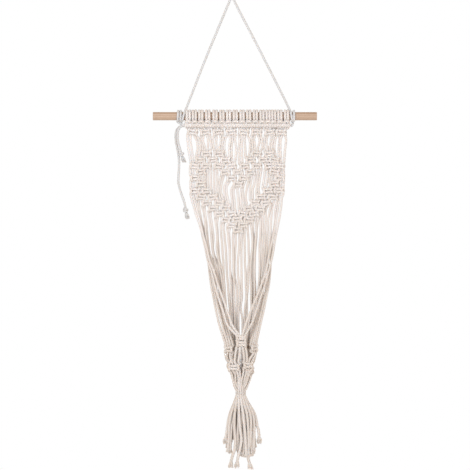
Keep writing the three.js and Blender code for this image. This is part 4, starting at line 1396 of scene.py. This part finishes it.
# How a lock lies. It follows the cord's run and then drops. LOCK_TURN from one to the next is
# near the golden angle, so that they spread evenly. It starts LOCK_ROOT inside the cord, at
# LOCK_SPREAD of its width, and the shortest has LOCK_SHORTEST of the tuft's length.
LOCK_RUN = 0.55
LOCK_DROP = 0.45
LOCK_TURN = 2.4
LOCK_ROOT = 1.6
LOCK_SPREAD = 0.72
LOCK_SHORTEST = 0.72
LOCK_MIDDLE = 0.45
LOCK_CURL = 0.9
LOCK_MIDDLE_CURL = 0.4
LOCK_THICKNESS = (1.3, 1.2, 0.55)
LOCK_STEPS = 5
TASSEL_SEED = 11
TAIL_SEED = 3


class CutEnds:
    """Tufts of loose yarn at the cut ends of cords."""

    def __init__(self, seed: int) -> None:
        """Starts with no tuft.

        Args:
            seed: what the tufts' spread starts from.
        """
        self.chance = random.Random(seed)
        self.mesh = CordMesh()

    def add(self, end: list[Point], tuft: Tuft) -> None:
        """Frays one cut end.

        Args:
            end: the cord's last two points.
            tuft: the make of its tuft.
        """
        start = np.array(end[-1][:3])
        run = start - np.array(end[-2][:3])
        run = run / np.linalg.norm(run)
        down = LOCK_RUN * run + np.array([0.0, 0.0, -LOCK_DROP])
        down = down / np.linalg.norm(down)
        width = CORD.radius * end[-1][3]
        # A tuft whose tips close is widest at its middle.
        open_by = 1 + (tuft.flare - 1) * (1.4 - 0.9 * tuft.close)
        for lock in range(tuft.locks):
            angle = LOCK_TURN * lock
            reach = math.sqrt((lock + 0.5) / tuft.locks)
            side = np.array([math.cos(angle), math.sin(angle), 0.0]) * reach
            fall = tuft.length * self.chance.uniform(LOCK_SHORTEST, 1.0)
            curl = np.array([self.chance.uniform(-1, 1), self.chance.uniform(-1, 1), 0.0])
            root = start - LOCK_ROOT * run + LOCK_SPREAD * width * side
            middle = start + LOCK_MIDDLE * fall * down + width * side * open_by
            middle = middle + LOCK_MIDDLE_CURL * curl
            tip = start + fall * down + width * side * tuft.flare * tuft.close
            tip = tip + LOCK_CURL * curl
            points = [(*at, thick) for at, thick in zip((root, middle, tip), LOCK_THICKNESS)]
            line = CordLine(points, tuft.length / LOCK_STEPS)
            self.mesh.add(line, Fibre(), self.chance.random())


class HangingCord:
    """The cord that hangs the dowel, which also runs through the bar and ends in two tails."""

    def build(self, cotton: bpy.types.Material) -> list[bpy.types.Object]:
        """Makes the loop, the core of the bar and the two loose ends.

        Args:
            cotton: the cord's finish.

        Returns:
            The pieces.
        """
        left, right = (
            [round_dowel(x, degrees, TURN_RADIUS, TIGHT) for degrees, x in turns]
            + [(*p, TIGHT) for p in tail]
            for turns, tail in ((LEFT_TURNS, LEFT_TAIL), (RIGHT_TURNS, RIGHT_TAIL))
        )
        loop = left[::-1] + [(*p, 1.0) for p in APEX] + right
        mesh = CordMesh()
        mesh.add(CordLine(loop, CORD.step), CORD, HANGING_TONE)
        pieces = [mesh.make("hanging_cord", cotton, ["hanging_loop"])]
        for route, (x, y, z, lean), name in (
            (SHORT_END, (-92.6, -3.0, -283.5, 2.6), "short"),
            (LONG_END, (-84.6, 0.0, -386.5, 1.6), "long"),
        ):
            points = [(*p, 1.0) for p in route] + end_knot(x, y, z, lean)
            line = CordLine(points, CORD.step)
            mesh = CordMesh()
            mesh.add(line, CORD, TAIL_TONE)
            pieces.append(mesh.make(f"tail_{name}", cotton, [f"loose_end_{name}"]))
            cut = CutEnds(TAIL_SEED)
            cut.add(points, TAIL_TUFT)
            pieces.append(cut.mesh.make(f"tail_{name}_tuft", cotton))
        return pieces


class KnottedWork:
    """The sixteen doubled cords as they pass the heading, panel, sling, neck and tassel."""

    NODES = {
        "heading_cords": ("heading",),
        "panel_left_cords": ("knotted_panel",),
        "panel_right_cords": (),
        "sling_left_cords": ("pocket_front_left",),
        "back_cords": ("pocket_back",),
        "sling_right_cords": ("pocket_front_right",),
        "tassel_cords": ("tassel",),
    }

    def build(self, cotton: bpy.types.Material) -> list[bpy.types.Object]:
        """Makes one piece for each stretch of the strands, and the tufts of the tassel.

        Args:
            cotton: the cord's finish.

        Returns:
            The pieces.
        """
        strands = Strands()
        meshes = {name: CordMesh() for name in self.NODES}
        strands.fill(meshes)
        core = [(x, BAR_Y, BAR_Z, 1.0) for x in BAR_CORE]
        meshes["heading_cords"].add(CordLine(core, CORD.step), CORD, BAR_TONE)
        pieces = [mesh.make(name, cotton, self.NODES[name]) for name, mesh in meshes.items()]
        tufts = CutEnds(TASSEL_SEED)
        makes = dict.fromkeys(LONG_ENDS, LONG_TUFT) | dict.fromkeys(BRUSHED_ENDS, BRUSHED_TUFT)
        for strand, end in strands.ends.items():
            tufts.add(end, makes.get(strand, PLAIN_TUFT))
        pieces.append(tufts.mesh.make("tassel_tufts", cotton))
        return pieces


@dataclass
class NeckBinding:
    """The turns of thin cord that bind the neck."""

    turns: int = 3
    pitch: float = 1.2
    radius: float = 8.9
    top: float = -718.8
    steps: int = 16
    tone: float = 0.4

    def build(self, cotton: bpy.types.Material) -> list[bpy.types.Object]:
        """Winds the binding.

        Args:
            cotton: the cord's finish.

        Returns:
            The pieces.
        """
        points = []
        for i in range(self.turns * self.steps + 1):
            angle = 2 * math.pi * i / self.steps
            x = NECK[0] + self.radius * math.cos(angle)
            y = NECK[1] + self.radius * math.sin(angle)
            points.append((x, y, self.top - self.pitch * i / self.steps, 1.0))
        mesh = CordMesh()
        mesh.add(CordLine(points, BINDING.step), BINDING, self.tone)
        return [mesh.make("neck_binding", cotton, ["neck_tie"])]


@dataclass
class Dowel:
    """The round wooden rod that the work hangs from."""

    radius: float = DOWEL_RADIUS
    length: float = 300.0
    centre_x: float = 5.3
    edge: float = 0.7
    edge_steps: int = 3
    sides: int = 72
    smooth_below: float = 40.0

    def build(self, wood: bpy.types.Material) -> list[bpy.types.Object]:
        """Turns the rod and eases its sawn edges.

        Args:
            wood: the rod's finish.

        Returns:
            The pieces.
        """
        deselect()
        bpy.ops.mesh.primitive_cylinder_add(
            vertices=self.sides,
            radius=self.radius * MM,
            depth=self.length * MM,
            location=(self.centre_x * MM, 0, DOWEL_Z * MM),
            rotation=(0, math.pi / 2, 0),
        )
        rod = bpy.context.active_object
        rod.name = rod.data.name = "dowel_rod"
        bpy.ops.object.transform_apply(location=True, rotation=True, scale=True)
        ends = [e.index for e in rod.data.edges if self._at_end(rod, e)]
        bpy.ops.object.mode_set(mode="EDIT")
        bpy.ops.mesh.select_mode(type="EDGE")
        bpy.ops.mesh.select_all(action="DESELECT")
        bpy.ops.object.mode_set(mode="OBJECT")
        for number in ends:
            rod.data.edges[number].select = True
        bpy.ops.object.mode_set(mode="EDIT")
        bpy.ops.mesh.bevel(offset=self.edge * MM, segments=self.edge_steps)
        bpy.ops.object.mode_set(mode="OBJECT")
        bpy.ops.object.shade_smooth_by_angle(angle=math.radians(self.smooth_below))
        rod.data.materials.append(wood)
        settle(rod, ["dowel"])
        return [rod]

    def _at_end(self, rod: bpy.types.Object, edge: bpy.types.MeshEdge) -> bool:
        """Whether an edge lies on the rim of one of the rod's ends."""
        reach = self.length / 2 - 0.01
        places = [rod.data.vertices[v].co.x / MM - self.centre_x for v in edge.vertices]
        return all(p > reach for p in places) or all(p < -reach for p in places)


@dataclass
class Studio:
    """Camera, lights, pale floor and white surround.

    distance, floor_radius and aim are in metres. centre and span frame the photo's view.
    """

    distance: float = 8.0
    centre: tuple[float, float] = (5.5, -432.2)
    span: float = 859.6
    sensor: float = 36.0
    floor_z: float = -1300.0
    floor_radius: float = 4.0
    glow: str = "#FFF0E0"
    glow_strength: float = 0.74
    lamp: str = "#E4F2FF"
    aim: Place = (0.0, 0.0, -0.3)

    def camera(self) -> None:
        """Sets a long lens level with the middle of the work, square to it."""
        data = bpy.data.cameras.new("camera")
        data.sensor_width = self.sensor
        data.lens = self.sensor * self.distance / (self.span * MM)
        data.clip_end = 60
        camera = set_out("camera", data)
        camera.location = (self.centre[0] * MM, -self.distance, self.centre[1] * MM)
        camera.rotation_euler = (math.pi / 2, 0, 0)
        bpy.context.scene.camera = camera

    def light(self) -> None:
        """Hangs two soft boxes in front and one behind, and turns the surround white."""
        for name, place, power, size in (
            ("key_box", (-1.1, -2.4, 0.4), 41.5, 1.2),
            ("fill_box", (1.3, -2.6, 0.1), 24.5, 1.4),
            ("back_box", (0.9, 2.8, 0.5), 46.0, 1.6),
        ):
            data = bpy.data.lights.new(name, "AREA")
            data.energy = power
            data.color = linear(self.lamp)[:3]
            data.shape = "SQUARE"
            data.size = size
            lamp = set_out(name, data)
            lamp.location = place
            beam = Vector(self.aim) - Vector(place)
            lamp.rotation_euler = beam.to_track_quat("-Z", "Y").to_euler()
        world = bpy.data.worlds.new("white_surround")
        world.use_nodes = True
        world.node_tree.nodes.clear()
        glow = add_node(
            world,
            "ShaderNodeBackground",
            values={"Color": linear(self.glow), "Strength": self.glow_strength},
        )
        seen = add_node(world, "ShaderNodeBackground", values={"Color": (1, 1, 1, 1)})
        ray = add_node(world, "ShaderNodeLightPath")
        both = add_node(
            world,
            "ShaderNodeMixShader",
            links={0: ray.outputs["Is Camera Ray"], 1: glow.outputs[0], 2: seen.outputs[0]},
        )
        add_node(world, "ShaderNodeOutputWorld", links={"Surface": both.outputs[0]})
        bpy.context.scene.world = world
        bpy.context.scene.view_settings.view_transform = "Standard"

    def floor(self) -> None:
        """Lays a round pale floor well below the work."""
        deselect()
        bpy.ops.mesh.primitive_circle_add(
            vertices=96, radius=self.floor_radius, fill_type="NGON", location=(0, 0, 0)
        )
        floor = bpy.context.active_object
        floor.name = floor.data.name = "studio_floor"
        floor.location = (0, 0, self.floor_z * MM)
        bpy.ops.object.transform_apply(location=True, rotation=True, scale=True)
        floor.data.materials.append(MattPaint().material())


def main() -> None:
    """Builds the hanger's pieces in order and reports each."""
    logging.basicConfig(level=logging.INFO, format="%(name)s: %(message)s")
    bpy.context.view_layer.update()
    studio = Studio()
    studio.camera()
    cotton = TwistedCotton().material()
    # The hanging cord and its free ends are coloured greyer than the knotted work, and their
    # valleys less dark, so they read greyer and smoother.
    greyer_cotton = TwistedCotton(
        name="greyish_cotton", pale="#D5D3D3", warm="#CDCAC8", groove_shade="#BAB4B0"
    ).material()
    wood = SandedBeech().material()
    pieces: list[bpy.types.Object] = []
    for part, finish in (
        (Dowel(), wood),
        (HangingCord(), greyer_cotton),
        (KnottedWork(), cotton),
        (NeckBinding(), cotton),
    ):
        pieces.extend(part.build(finish))
    log.info("%d pieces", len(pieces))
    studio.light()
    studio.floor()


if __name__ == "__main__":
    main()
